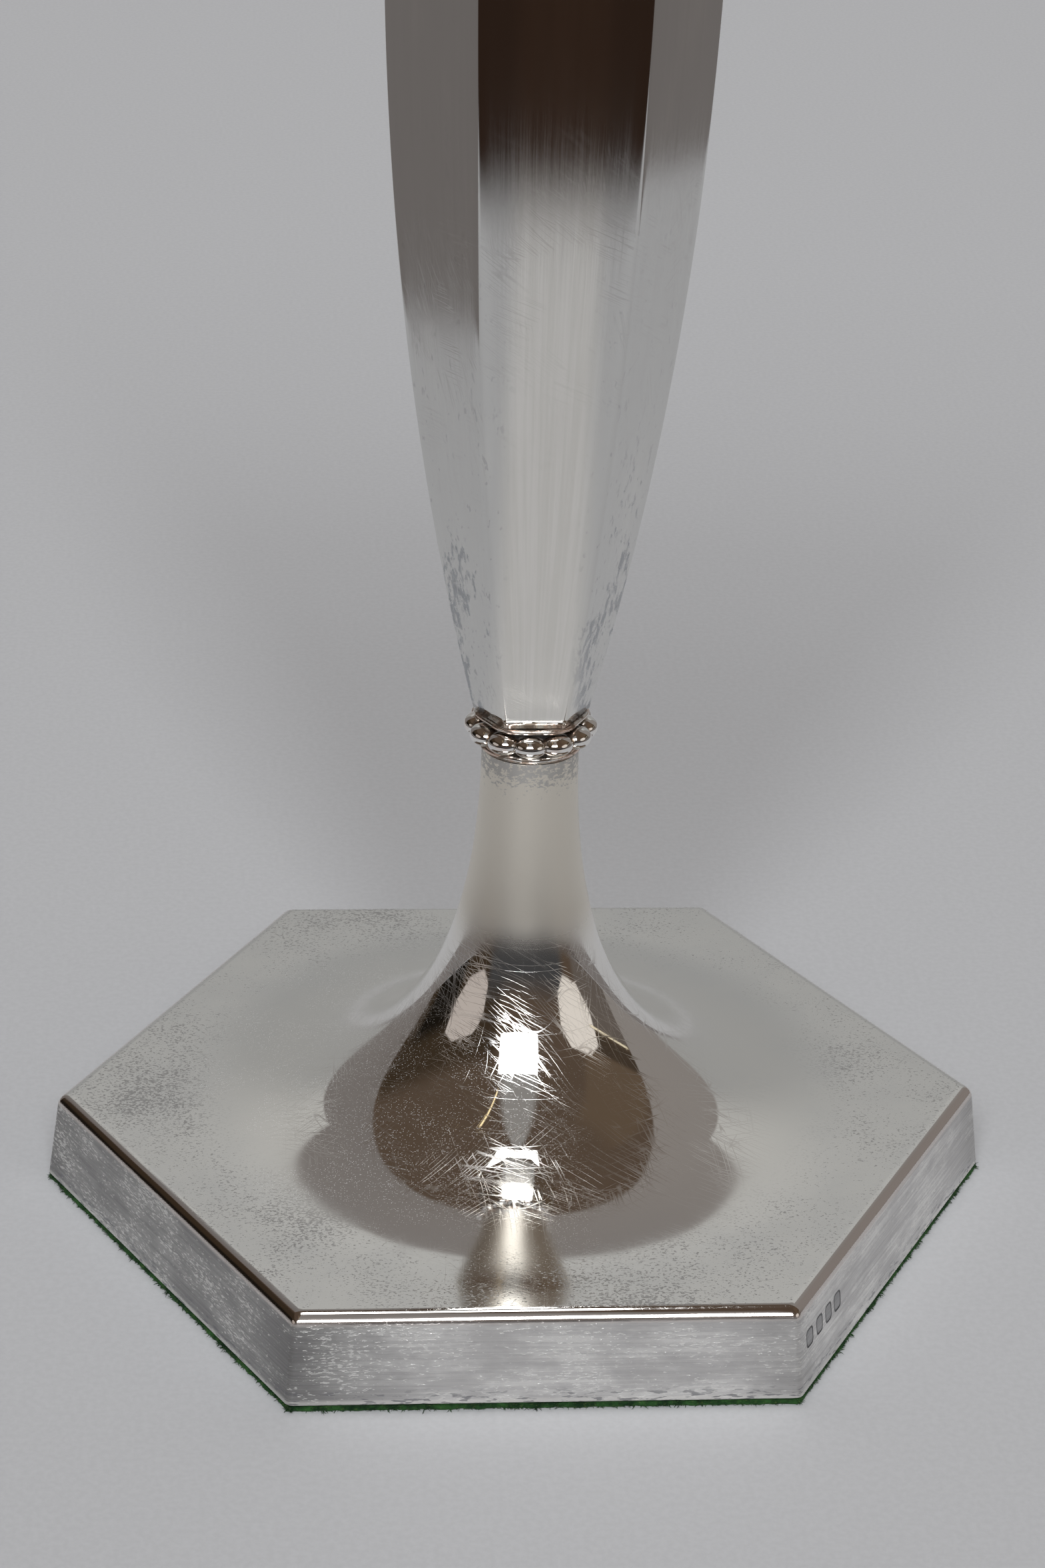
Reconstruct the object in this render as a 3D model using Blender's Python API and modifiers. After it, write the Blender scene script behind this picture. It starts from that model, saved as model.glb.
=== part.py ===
"""A loaded hexagonal silver candlestick with a lift-out nozzle, modelled in metres with +Z up.

The origin is the centre of the baize's underside, which is what the stick stands on. The hexagons
have two corners on the X axis, so a flat side of the foot, the stem and the sconce faces -Y.
From the bottom up: baize, board and cast filling under a raised silver foot, a beaded collar, a
flared hexagonal stem with its own filling, a shoulder, a second collar, the sconce, and the nozzle.
A threaded rod with a nut at each end runs through the stack.
"""

import math

import bmesh
import bpy
from mathutils import Matrix, Vector

MM = 0.001
SIDES = 6
SECTOR = 2 * math.pi / SIDES
SLANT = math.cos(math.pi / SIDES)  # a hexagon's half width across flats over its corner radius

# Sheet, gaps and edges
WALL = 0.8 * MM
FIT_GAP = 0.3 * MM
RIDGE_OFFSET = 0.6 * MM  # how far a stem or sconce ridge is rounded back along each facet

# Tie rod
ROD_RADIUS = 2.5 * MM
NUT_WALL = 1.8 * MM  # from the thread to a corner of the nut
NUT_HEIGHT = 4.0 * MM
WASHER_THICKNESS = 1.0 * MM
WASHER_ROOM = 0.5 * MM  # between the upper washer and the sconce's wall
ROD_PROUD = 1.0 * MM  # what shows of the rod past the upper nut
ROD_COVER = 0.7 * MM  # from the lower nut to the baize's side of the board
NUT_WELL_ROOM = 4.0 * MM  # round the lower washer

# Foot
FOOT_RADIUS = 80.0 * MM  # to a corner, at the bottom edge
FOOT_DRAFT = 2.1 * MM  # how much nearer the axis a top corner is
RIM_HEIGHT = 15.5 * MM
FOOT_CORNER_ROUND = 1.5 * MM
FOOT_EDGE_ROUND = 2.0 * MM
FLAT_MARGIN = 7.5 * MM  # from the run-out of the flare to the middle of a side
NECK_RADIUS = 7.9 * MM
NECK_HEIGHT = 80.2 * MM  # from the silver's bottom edge
TRUMPET_POWER = 0.48  # below 1 bows the flare inwards
BAIZE_THICKNESS = 0.9 * MM
BAIZE_INSET = 0.4 * MM

# Collars under and over the stem
WIRE_RADIUS = 0.6 * MM
BEADS = 12
BEAD_STANDOFF = 0.7 * MM  # from the neck's face to the circle of bead centres
BEAD_DEPTH = 4.6 * MM  # across a bead, measured out from the stick's axis
BEAD_HEIGHT = 3.6 * MM
BEAD_OVERLAP = 1.06  # a bead's width over its share of the circle, so that neighbours join
BEAD_PHASE = math.radians(-4.7)  # the ring of beads is soldered on slightly turned
CORE_INSET = 0.4 * MM  # how far the collar's core lies within its beads, above and below
LIP_THICKNESS = 0.8 * MM
LIP_OVERHANG = 0.6 * MM

# Stem and shoulder
STEM_FOOT_RADIUS = 9.6 * MM
STEM_TOP_RADIUS = 25.7 * MM
STEM_HEIGHT = 141.0 * MM
STEM_POWER = 2.2  # how soon the flare of the stem straightens towards its top
SHOULDER_HEIGHT = 14.0 * MM
SHOULDER_TOP_RADIUS = 10.0 * MM

# Nozzle, and the sconce that it sets the size of
CANDLE_RADIUS = 11.3 * MM
NOZZLE_WALL = 0.7 * MM
NOZZLE_DEPTH = 26.0 * MM  # below the sconce's edge
NOZZLE_STAND = 3.4 * MM  # above the sconce's edge
SLIDE_GAP = 0.4 * MM
SLEEVE_ROOM = 2.1 * MM  # between the sleeve and the sconce's wall
SCONCE_FOOT_RADIUS = 9.6 * MM
SCONCE_BOWL_HEIGHT = 19.6 * MM
SCONCE_POWER = 2.4
SCONCE_TAPER = 0.9 * MM  # how much wider the mouth is than the top of the bowl
PAN_OVERHANG = 5.4 * MM
PAN_DISH = 2.2 * MM
PAN_THICKNESS = 0.9 * MM
KEY_DEPTH = 2.5 * MM  # the pan's skirt, which keeps the nozzle from turning
KEY_ROOM = 0.7 * MM  # from the skirt down to the sleeve's flange

# Fineness
ROUND_STEPS = 32
CORNER_STEPS = 2
FLAT_STEPS = 4
TRUMPET_STEPS = 12
STEM_STEPS = 9
SHOULDER_STEPS = 6
BOWL_STEPS = 7
WIRE_STEPS = 8
BEAD_SEGMENTS = 10
BEAD_RINGS = 6

# Widths worked out from those
FOOT_TOP_RADIUS = FOOT_RADIUS - FOOT_DRAFT
TRUMPET_RADIUS = FOOT_TOP_RADIUS * SLANT - FLAT_MARGIN
BEAD_CIRCLE_RADIUS = NECK_RADIUS + BEAD_STANDOFF
ROD_BORE = ROD_RADIUS + FIT_GAP
NUT_RADIUS = ROD_BORE + NUT_WALL
WASHER_RADIUS = SCONCE_FOOT_RADIUS * SLANT - WALL - WASHER_ROOM
NUT_WELL_RADIUS = WASHER_RADIUS + NUT_WELL_ROOM
NOZZLE_RADIUS = CANDLE_RADIUS + NOZZLE_WALL
SLEEVE_BORE = NOZZLE_RADIUS + SLIDE_GAP
SCONCE_TOP_RADIUS = (SLEEVE_BORE + 2 * WALL + SLEEVE_ROOM) / SLANT
MOUTH_RADIUS = SCONCE_TOP_RADIUS - WALL / SLANT - RIDGE_OFFSET * (1 - SLANT)
KEY_RADIUS = MOUTH_RADIUS - SLIDE_GAP / SLANT
PAN_RADIUS = SCONCE_TOP_RADIUS + PAN_OVERHANG

# Heights worked out from those
BOARD_THICKNESS = ROD_COVER + NUT_HEIGHT + FIT_GAP + WASHER_THICKNESS
MOUTH_DEPTH = KEY_DEPTH + KEY_ROOM  # from the sconce's edge to the sleeve's flange
SCONCE_HEIGHT = SCONCE_BOWL_HEIGHT + NOZZLE_DEPTH + 2 * FIT_GAP + WALL

# Levels, worked out upwards from the floor
SILVER_BOTTOM = BAIZE_THICKNESS + FIT_GAP
FILLING_BOTTOM = SILVER_BOTTOM + BOARD_THICKNESS + FIT_GAP
NECK_TOP = SILVER_BOTTOM + NECK_HEIGHT
LOWER_WIRE_BOTTOM = NECK_TOP + FIT_GAP
LOWER_COLLAR_BOTTOM = LOWER_WIRE_BOTTOM + 2 * WIRE_RADIUS + FIT_GAP
STEM_LIP_BOTTOM = LOWER_COLLAR_BOTTOM + BEAD_HEIGHT + FIT_GAP
STEM_BOTTOM = STEM_LIP_BOTTOM + LIP_THICKNESS + FIT_GAP
STEM_TOP = STEM_BOTTOM + STEM_HEIGHT
SHOULDER_BOTTOM = STEM_TOP + FIT_GAP
UPPER_COLLAR_BOTTOM = SHOULDER_BOTTOM + SHOULDER_HEIGHT + FIT_GAP
UPPER_WIRE_BOTTOM = UPPER_COLLAR_BOTTOM + BEAD_HEIGHT + FIT_GAP
SCONCE_LIP_BOTTOM = UPPER_WIRE_BOTTOM + 2 * WIRE_RADIUS + FIT_GAP
SCONCE_BOTTOM = SCONCE_LIP_BOTTOM + LIP_THICKNESS + FIT_GAP
SCONCE_EDGE = SCONCE_BOTTOM + SCONCE_HEIGHT
UPPER_NUT_BOTTOM = SCONCE_BOTTOM + WASHER_THICKNESS + FIT_GAP
LOWER_WASHER_BOTTOM = FILLING_BOTTOM - FIT_GAP - WASHER_THICKNESS
LOWER_NUT_BOTTOM = LOWER_WASHER_BOTTOM - FIT_GAP - NUT_HEIGHT
ROD_BOTTOM = SILVER_BOTTOM
ROD_TOP = UPPER_NUT_BOTTOM + NUT_HEIGHT + ROD_PROUD

SILVER = ((0.78, 0.76, 0.72), 0.18, 1.0)
WORN_SILVER = ((0.70, 0.67, 0.61), 0.30, 1.0)
STEEL = ((0.42, 0.42, 0.43), 0.35, 1.0)
PLASTER = ((0.55, 0.50, 0.42), 0.90, 0.0)
FIBREBOARD = ((0.34, 0.24, 0.15), 0.85, 0.0)
BAIZE = ((0.03, 0.13, 0.05), 0.95, 0.0)


def clear_scene():
    for old in list(bpy.data.objects):
        bpy.data.objects.remove(old)


def new_collection(name):
    made = bpy.data.collections.new(name)
    bpy.context.scene.collection.children.link(made)
    return made


def finish_material(name, finish):
    colour, roughness, metallic = finish
    made = bpy.data.materials.new(name)
    made.use_nodes = True
    shader = made.node_tree.nodes["Principled BSDF"]
    shader.inputs["Base Color"].default_value = (*colour, 1.0)
    shader.inputs["Roughness"].default_value = roughness
    shader.inputs["Metallic"].default_value = metallic
    return made


def place(name, mesh, level, finish):
    """The mesh as a named piece whose own zero lies at that level on the stick's axis."""
    piece = bpy.data.objects.new(name, mesh)
    piece.location = (0, 0, level)
    mesh.materials.append(finish_material(name, finish))
    PARTS.objects.link(piece)
    return piece


def hide_as_cutter(piece):
    piece.hide_render = True
    piece.display_type = "WIRE"
    CUTTERS.objects.link(piece)
    return piece


def outline_mesh(name, outline, closed):
    """A half section in the XZ plane, as a chain of edges for the Screw modifier."""
    points = [(radius, 0, height) for radius, height in outline]
    edges = [(i, i + 1) for i in range(len(points) - 1)]
    if closed:
        edges.append((len(points) - 1, 0))
    mesh = bpy.data.meshes.new(name)
    mesh.from_pydata(points, edges, [])
    return mesh


def screw(piece, steps, smooth):
    turn = piece.modifiers.new("turn", "SCREW")
    turn.steps = steps
    turn.render_steps = steps
    turn.use_merge_vertices = True
    turn.merge_threshold = 0.01 * MM
    turn.use_normal_calculate = False
    turn.use_smooth_shade = smooth
    return piece


def turned(name, outline, level, finish, closed=True, steps=ROUND_STEPS):
    """A round piece; its outline runs down its outer side and, when closed, back up its bore."""
    return screw(place(name, outline_mesh(name, outline, closed), level, finish), steps, True)


def ring_outline(inner, outer, height, bottom=0.0):
    """A washer's section: down the outside, and back up the bore."""
    return [
        (outer, bottom + height),
        (outer, bottom),
        (inner, bottom),
        (inner, bottom + height),
    ]


def wire_outline(centre_radius, wire_radius):
    """A round wire's section, resting on its own zero, gone round clockwise."""
    turns = [-2 * math.pi * i / WIRE_STEPS for i in range(WIRE_STEPS)]
    return [
        (centre_radius + wire_radius * math.cos(a), wire_radius + wire_radius * math.sin(a))
        for a in turns
    ]


def facet_shell(name, outline, level, finish):
    """A hexagonal sheet-metal piece: a turned outline of six steps, its ridges rounded, then given a wall."""
    piece = screw(place(name, outline_mesh(name, outline, False), level, finish), SIDES, False)
    ridges = piece.modifiers.new("ridges", "BEVEL")
    ridges.width = RIDGE_OFFSET
    ridges.segments = 2
    ridges.limit_method = "ANGLE"
    ridges.angle_limit = math.radians(40)
    wall = piece.modifiers.new("wall", "SOLIDIFY")
    wall.thickness = WALL
    wall.offset = -1
    wall.use_even_offset = True
    return piece


def bore(piece, radius, low, high):
    """A round hole on the stick's axis from low to high, in the piece's own heights."""
    mesh = bpy.data.meshes.new(piece.name + "_bore")
    form = bmesh.new()
    bmesh.ops.create_cone(
        form,
        cap_ends=True,
        segments=ROUND_STEPS,
        radius1=radius,
        radius2=radius,
        depth=high - low,
        matrix=Matrix.Translation((0, 0, (low + high) / 2)),
    )
    form.to_mesh(mesh)
    form.free()
    cutter = hide_as_cutter(bpy.data.objects.new(mesh.name, mesh))
    cutter.location = piece.location
    cut = piece.modifiers.new("bore", "BOOLEAN")
    cut.operation = "DIFFERENCE"
    cut.object = cutter
    return piece


def hexagon(radius, corner_round):
    """Points round a hexagon with rounded corners, the first corner on +X."""
    side_radius = radius - corner_round / SLANT
    points = []
    for side in range(SIDES):
        corner = side * SECTOR
        centre = Vector((math.cos(corner), math.sin(corner))) * side_radius
        for step in range(CORNER_STEPS + 1):
            angle = corner + SECTOR * (step / CORNER_STEPS - 0.5)
            points.append(centre + Vector((math.cos(angle), math.sin(angle))) * corner_round)
        next_centre = Matrix.Rotation(SECTOR, 2) @ centre
        facing = corner + SECTOR / 2
        outward = Vector((math.cos(facing), math.sin(facing))) * corner_round
        for step in range(1, FLAT_STEPS):
            points.append(centre.lerp(next_centre, step / FLAT_STEPS) + outward)
    return points


def loft(name, rings, level, finish, closed):
    """Skin a stack of rings of equal count: capped at both ends, or closed on itself as a shell."""
    form = bmesh.new()
    rows = [[form.verts.new(point) for point in ring] for ring in rings]
    pairs = list(zip(rows, rows[1:]))
    if closed:
        pairs.append((rows[-1], rows[0]))
    else:
        form.faces.new(rows[0])
        form.faces.new(list(reversed(rows[-1])))
    for upper, lower in pairs:
        for i, point in enumerate(upper):
            j = (i + 1) % len(upper)
            form.faces.new((point, lower[i], lower[j], upper[j]))
    mesh = bpy.data.meshes.new(name)
    form.to_mesh(mesh)
    form.free()
    mesh.shade_smooth()
    mesh.set_sharp_from_angle(angle=math.radians(35))
    return place(name, mesh, level, finish)


def trumpet_outline(inset):
    """The flare from the neck down to the flat top, each point moved in from the surface by inset.

    It is a quarter of a superellipse that bows inwards: upright at the neck, level at the foot.
    """
    reach = TRUMPET_RADIUS - NECK_RADIUS
    rise = NECK_HEIGHT - RIM_HEIGHT

    def at(turn):
        out = math.sin(turn) ** (2 / TRUMPET_POWER)
        up = math.cos(turn) ** (2 / TRUMPET_POWER)
        return Vector((NECK_RADIUS + reach * out, RIM_HEIGHT + rise * up))

    outline = []
    for step in range(TRUMPET_STEPS + 1):
        turn = math.pi / 2 * (step / TRUMPET_STEPS) * 0.999
        along = at(min(turn + 0.02, math.pi / 2 * 0.9995)) - at(max(turn - 0.02, 0.0))
        inward = Vector((along.y, -along.x)).normalized()
        outline.append(at(turn) + inward * inset)
    outline[0].y = NECK_HEIGHT
    return outline


def foot_rings(inset, bottom):
    """Rings of the foot's surface from the neck down to bottom, moved in from the silver's face."""
    rings = []
    directions = [point.normalized() for point in hexagon(FOOT_TOP_RADIUS, FOOT_CORNER_ROUND)]
    for radius, height in trumpet_outline(inset):
        rings.append([(*(direction * radius), height) for direction in directions])
    draft = FOOT_DRAFT / RIM_HEIGHT
    edge_round = max(FOOT_EDGE_ROUND - inset, FIT_GAP)
    top = RIM_HEIGHT - inset
    corner_round = max(FOOT_CORNER_ROUND - inset, FIT_GAP)
    for turn in (0, math.pi / 6, math.pi / 3, math.pi / 2):
        height = top - edge_round * (1 - math.cos(turn))
        side = FOOT_TOP_RADIUS + draft * (RIM_HEIGHT - height) - inset / SLANT
        radius = side - edge_round * (1 - math.sin(turn)) / SLANT
        rings.append([(*point, height) for point in hexagon(radius, corner_round)])
    low_radius = FOOT_TOP_RADIUS + draft * (RIM_HEIGHT - bottom) - inset / SLANT
    rings.append([(*point, bottom) for point in hexagon(low_radius, corner_round)])
    return rings


def make_foot_shell():
    """The foot and its trumpet neck, one raised sheet that is open below and at the neck."""
    rings = foot_rings(0, 0) + list(reversed(foot_rings(WALL, 0)))
    return loft("foot_shell", rings, SILVER_BOTTOM, SILVER, closed=True)


def make_foot_filling():
    """Plaster cast into the foot, above the board."""
    rings = foot_rings(WALL + FIT_GAP, FILLING_BOTTOM - SILVER_BOTTOM)
    filling = loft("foot_filling", rings, SILVER_BOTTOM, PLASTER, closed=False)
    return bore(filling, ROD_BORE, 0, NECK_HEIGHT + WALL)


def make_plate(name, radius, thickness, level, finish, hole):
    """A flat hexagonal plate with a round hole on the axis."""
    outline = [(0, thickness), (radius, thickness), (radius, 0), (0, 0)]
    plate = screw(place(name, outline_mesh(name, outline, False), level, finish), SIDES, False)
    if hole:
        bore(plate, hole, -thickness, 2 * thickness)
    return plate


def make_board():
    """The hexagonal board that closes the foot, with a well for the rod's nut."""
    corner_loss = FOOT_CORNER_ROUND * (1 / SLANT - 1)
    narrowing = FOOT_DRAFT / RIM_HEIGHT * BOARD_THICKNESS
    radius = FOOT_RADIUS - (WALL + FIT_GAP) / SLANT - corner_loss - narrowing
    return make_plate(
        "base_board", radius, BOARD_THICKNESS, SILVER_BOTTOM, FIBREBOARD, NUT_WELL_RADIUS
    )


def make_baize():
    return make_plate("baize_pad", FOOT_RADIUS - BAIZE_INSET, BAIZE_THICKNESS, 0, BAIZE, None)


def make_wire_ring(name, level):
    """A thin wire soldered round the joint between a collar and its neighbour."""
    return turned(name, wire_outline(NECK_RADIUS, WIRE_RADIUS), level, WORN_SILVER)


def make_bead_collar(name, level):
    """A ring of oval beads round a flat core, joined into one body."""
    core_height = BEAD_HEIGHT - 2 * CORE_INSET
    core = ring_outline(ROD_BORE, BEAD_CIRCLE_RADIUS, core_height, CORE_INSET)
    collar = turned(name, core, level, WORN_SILVER, steps=2 * BEADS)
    width = 2 * BEAD_CIRCLE_RADIUS * math.sin(math.pi / BEADS) * BEAD_OVERLAP
    form = bmesh.new()
    for bead in range(BEADS):
        spot = Matrix.Rotation(BEAD_PHASE + 2 * math.pi * bead / BEADS, 4, "Z")
        spot = spot @ Matrix.Translation((BEAD_CIRCLE_RADIUS, 0, BEAD_HEIGHT / 2))
        spot = spot @ Matrix.Diagonal((BEAD_DEPTH / 2, width / 2, BEAD_HEIGHT / 2, 1))
        bmesh.ops.create_uvsphere(
            form, u_segments=BEAD_SEGMENTS, v_segments=BEAD_RINGS, radius=1, matrix=spot
        )
    mesh = bpy.data.meshes.new(name + "_beads")
    form.to_mesh(mesh)
    form.free()
    mesh.shade_smooth()
    beads = hide_as_cutter(bpy.data.objects.new(mesh.name, mesh))
    beads.location = collar.location
    join = collar.modifiers.new("beads", "BOOLEAN")
    join.operation = "UNION"
    join.object = beads
    join.use_self = True
    return collar


def flare_radius(share, low, high, power):
    """The corner radius at that share of the height: quick to open below, straight above."""
    return high - (high - low) * (1 - share) ** power


def flare_outline(low, high, height, power, steps, inset=0.0):
    """A flared outline from the top edge down to the foot."""
    shares = [1 - step / steps for step in range(steps + 1)]
    return [
        (flare_radius(share, low, high, power) - inset / SLANT, share * height)
        for share in shares
    ]


def make_stem_shell():
    outline = flare_outline(STEM_FOOT_RADIUS, STEM_TOP_RADIUS, STEM_HEIGHT, STEM_POWER, STEM_STEPS)
    return facet_shell("stem_shell", outline, STEM_BOTTOM, SILVER)


def make_stem_filling():
    """Plaster cast into the stem, stopping short of the plates at both ends."""
    inset = WALL + FIT_GAP + RIDGE_OFFSET * (1 - SLANT)
    side = flare_outline(
        STEM_FOOT_RADIUS, STEM_TOP_RADIUS, STEM_HEIGHT, STEM_POWER, STEM_STEPS, inset
    )
    outline = [(0, STEM_HEIGHT)] + side + [(0, 0)]
    mesh = outline_mesh("stem_filling", outline, False)
    filling = screw(place("stem_filling", mesh, STEM_BOTTOM, PLASTER), SIDES, False)
    return bore(filling, ROD_BORE, -FIT_GAP, STEM_HEIGHT + FIT_GAP)


def make_shoulder():
    """The domed hexagonal cap that closes the top of the stem, with a hole for the rod."""
    outline = [(0, SHOULDER_HEIGHT)]
    for step in range(SHOULDER_STEPS + 1):
        turn = math.pi / 2 * step / SHOULDER_STEPS
        reach = (STEM_TOP_RADIUS - SHOULDER_TOP_RADIUS) * math.sin(turn)
        dome = (math.cos(turn) + 1 - math.sin(turn)) / 2
        outline.append((SHOULDER_TOP_RADIUS + reach, SHOULDER_HEIGHT * dome))
    cap = facet_shell("stem_shoulder", outline, SHOULDER_BOTTOM, SILVER)
    return bore(cap, ROD_BORE, SHOULDER_HEIGHT - 2 * WALL, SHOULDER_HEIGHT + WALL)


def make_sconce_shell():
    """The hexagonal socket: a bowl that opens from its foot, then nearly straight sides."""
    bowl_top = SCONCE_TOP_RADIUS - SCONCE_TAPER
    bowl = flare_outline(
        SCONCE_FOOT_RADIUS, bowl_top, SCONCE_BOWL_HEIGHT, SCONCE_POWER, BOWL_STEPS
    )
    outline = [(SCONCE_TOP_RADIUS, SCONCE_HEIGHT)] + bowl
    return facet_shell("sconce_shell", outline, SCONCE_BOTTOM, SILVER)


def make_sconce_sleeve():
    """A round cup hung in the sconce from a hexagonal flange, which the nozzle slides into."""
    depth = NOZZLE_DEPTH - MOUTH_DEPTH + FIT_GAP
    flange = MOUTH_RADIUS - FIT_GAP / SLANT - SCONCE_TAPER
    outer = SLEEVE_BORE + WALL
    level = SCONCE_EDGE - MOUTH_DEPTH
    plate = outline_mesh("sconce_sleeve", [(0, 0), (flange, 0), (flange, -WALL), (0, -WALL)], False)
    sleeve = screw(place("sconce_sleeve", plate, level, WORN_SILVER), SIDES, False)
    cup = [(0, -WALL / 2), (outer, -WALL / 2), (outer, -depth - WALL), (0, -depth - WALL)]
    body = bpy.data.objects.new("sleeve_cup", outline_mesh("sleeve_cup", cup, False))
    screw(hide_as_cutter(body), ROUND_STEPS, True)
    body.location = sleeve.location
    join = sleeve.modifiers.new("cup", "BOOLEAN")
    join.operation = "UNION"
    join.object = body
    return bore(sleeve, SLEEVE_BORE, -depth, WALL)


def make_nozzle_cup():
    """The tube that holds the candle, closed below. Its zero is at the sconce's edge."""
    floor = NOZZLE_WALL - NOZZLE_DEPTH
    outline = [
        (0, floor),
        (CANDLE_RADIUS, floor),
        (CANDLE_RADIUS, NOZZLE_STAND),
        (NOZZLE_RADIUS, NOZZLE_STAND),
        (NOZZLE_RADIUS, -NOZZLE_DEPTH),
        (0, -NOZZLE_DEPTH),
    ]
    return turned("nozzle_cup", outline, SCONCE_EDGE, SILVER, closed=False)


def make_drip_pan():
    """A dished hexagonal pan round the cup, with a skirt that drops into the sconce's mouth."""
    skirt_inner = KEY_RADIUS - WALL / SLANT
    rest = KEY_RADIUS + (WALL + SLIDE_GAP) / SLANT
    outline = [
        (0, FIT_GAP + PAN_THICKNESS),
        (KEY_RADIUS, FIT_GAP + PAN_THICKNESS),
        (PAN_RADIUS, FIT_GAP + PAN_THICKNESS + PAN_DISH),
        (PAN_RADIUS, FIT_GAP + PAN_DISH),
        (rest, FIT_GAP),
        (KEY_RADIUS, FIT_GAP),
        (KEY_RADIUS, -KEY_DEPTH),
        (skirt_inner, -KEY_DEPTH),
        (skirt_inner, FIT_GAP),
        (0, FIT_GAP),
    ]
    mesh = outline_mesh("drip_pan", outline, False)
    pan = screw(place("drip_pan", mesh, SCONCE_EDGE, SILVER), SIDES, False)
    return bore(pan, NOZZLE_RADIUS + FIT_GAP, -KEY_DEPTH, PAN_THICKNESS + PAN_DISH)


def make_drip_pan_border():
    """A wire soldered round the pan's edge."""
    level = SCONCE_EDGE + PAN_DISH + PAN_THICKNESS + 2 * FIT_GAP
    section = wire_outline(PAN_RADIUS - WIRE_RADIUS / SLANT, WIRE_RADIUS)
    mesh = outline_mesh("drip_pan_border", section, True)
    return screw(place("drip_pan_border", mesh, level, WORN_SILVER), SIDES, False)


def make_nozzle_rim():
    """A wire round the cup's mouth."""
    section = wire_outline(NOZZLE_RADIUS - NOZZLE_WALL / 2, WIRE_RADIUS)
    return turned("nozzle_rim", section, SCONCE_EDGE + NOZZLE_STAND + FIT_GAP, WORN_SILVER)


def make_nut(name, level):
    return make_plate(name, NUT_RADIUS, NUT_HEIGHT, level, STEEL, ROD_BORE)


def make_washer(name, level):
    return turned(name, ring_outline(ROD_BORE, WASHER_RADIUS, WASHER_THICKNESS), level, STEEL)


def make_rod():
    length = ROD_TOP - ROD_BOTTOM
    outline = [(0, length), (ROD_RADIUS, length), (ROD_RADIUS, 0), (0, 0)]
    return turned("tie_rod", outline, ROD_BOTTOM, STEEL, closed=False)


clear_scene()
PARTS = new_collection("silver_candlestick")
CUTTERS = new_collection("cutters")

make_baize()
make_board()
make_foot_filling()
make_foot_shell()
make_rod()
make_nut("lower_nut", LOWER_NUT_BOTTOM)
make_washer("lower_washer", LOWER_WASHER_BOTTOM)
make_wire_ring("lower_wire_ring", LOWER_WIRE_BOTTOM)
make_bead_collar("lower_bead_collar", LOWER_COLLAR_BOTTOM)
make_plate(
    "stem_foot_plate",
    STEM_FOOT_RADIUS + LIP_OVERHANG,
    LIP_THICKNESS,
    STEM_LIP_BOTTOM,
    WORN_SILVER,
    ROD_BORE,
)
make_stem_filling()
make_stem_shell()
make_shoulder()
make_bead_collar("upper_bead_collar", UPPER_COLLAR_BOTTOM)
make_wire_ring("upper_wire_ring", UPPER_WIRE_BOTTOM)
make_plate(
    "sconce_foot_plate",
    SCONCE_FOOT_RADIUS + LIP_OVERHANG,
    LIP_THICKNESS,
    SCONCE_LIP_BOTTOM,
    WORN_SILVER,
    ROD_BORE,
)
make_sconce_shell()
make_washer("upper_washer", SCONCE_BOTTOM)
make_nut("upper_nut", UPPER_NUT_BOTTOM)
make_sconce_sleeve()
make_nozzle_cup()
make_drip_pan()
make_drip_pan_border()
make_nozzle_rim()
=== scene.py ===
"""The looks of the silver candlestick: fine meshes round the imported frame, materials, light and camera.

Lengths are in metres, in the frame's own axes. The hexagons have two corners on the X axis, and the
side that faces the camera faces -Y.
"""

import random
from math import atan2, cos, hypot, pi, radians, sin, sqrt, tan, tau

import bmesh
import bpy
import numpy as np
from mathutils import Matrix, Vector, noise


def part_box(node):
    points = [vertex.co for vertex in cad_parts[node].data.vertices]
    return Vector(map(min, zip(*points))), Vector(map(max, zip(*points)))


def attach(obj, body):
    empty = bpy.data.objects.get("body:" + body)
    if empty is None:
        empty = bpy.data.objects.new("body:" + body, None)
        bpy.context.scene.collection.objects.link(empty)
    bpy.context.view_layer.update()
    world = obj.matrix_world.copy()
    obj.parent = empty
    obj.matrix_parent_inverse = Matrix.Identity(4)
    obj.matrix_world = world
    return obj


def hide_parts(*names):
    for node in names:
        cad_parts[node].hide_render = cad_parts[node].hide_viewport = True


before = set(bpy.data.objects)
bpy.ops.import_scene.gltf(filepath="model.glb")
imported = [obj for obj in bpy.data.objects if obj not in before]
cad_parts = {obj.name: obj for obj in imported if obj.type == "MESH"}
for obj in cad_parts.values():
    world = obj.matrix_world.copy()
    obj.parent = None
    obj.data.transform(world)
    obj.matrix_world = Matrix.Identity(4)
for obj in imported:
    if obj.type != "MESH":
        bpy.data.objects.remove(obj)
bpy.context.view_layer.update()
scene = bpy.context.scene

MM = 0.001
SIDES = 6
SECTOR = tau / SIDES
SLANT = cos(pi / SIDES)

# Shape of the foot
WALL = 0.8 * MM
FOOT_RADIUS = 80.0 * MM
FOOT_DRAFT = 2.1 * MM
RIM_HEIGHT = 15.5 * MM
CORNER_ROUND = 1.5 * MM
EDGE_ROUND = 2.0 * MM
EDGE_TURN = radians(82.3)
FLAT_WAVE = 0.045 * MM
FLAT_SAG = 0.03 * MM
NECK_RADIUS = 7.9 * MM
NECK_HEIGHT = 80.2 * MM
TRUMPET_RADIUS = (FOOT_RADIUS - FOOT_DRAFT) * SLANT - 7.5 * MM
TRUMPET_POWER = 0.48

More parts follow.
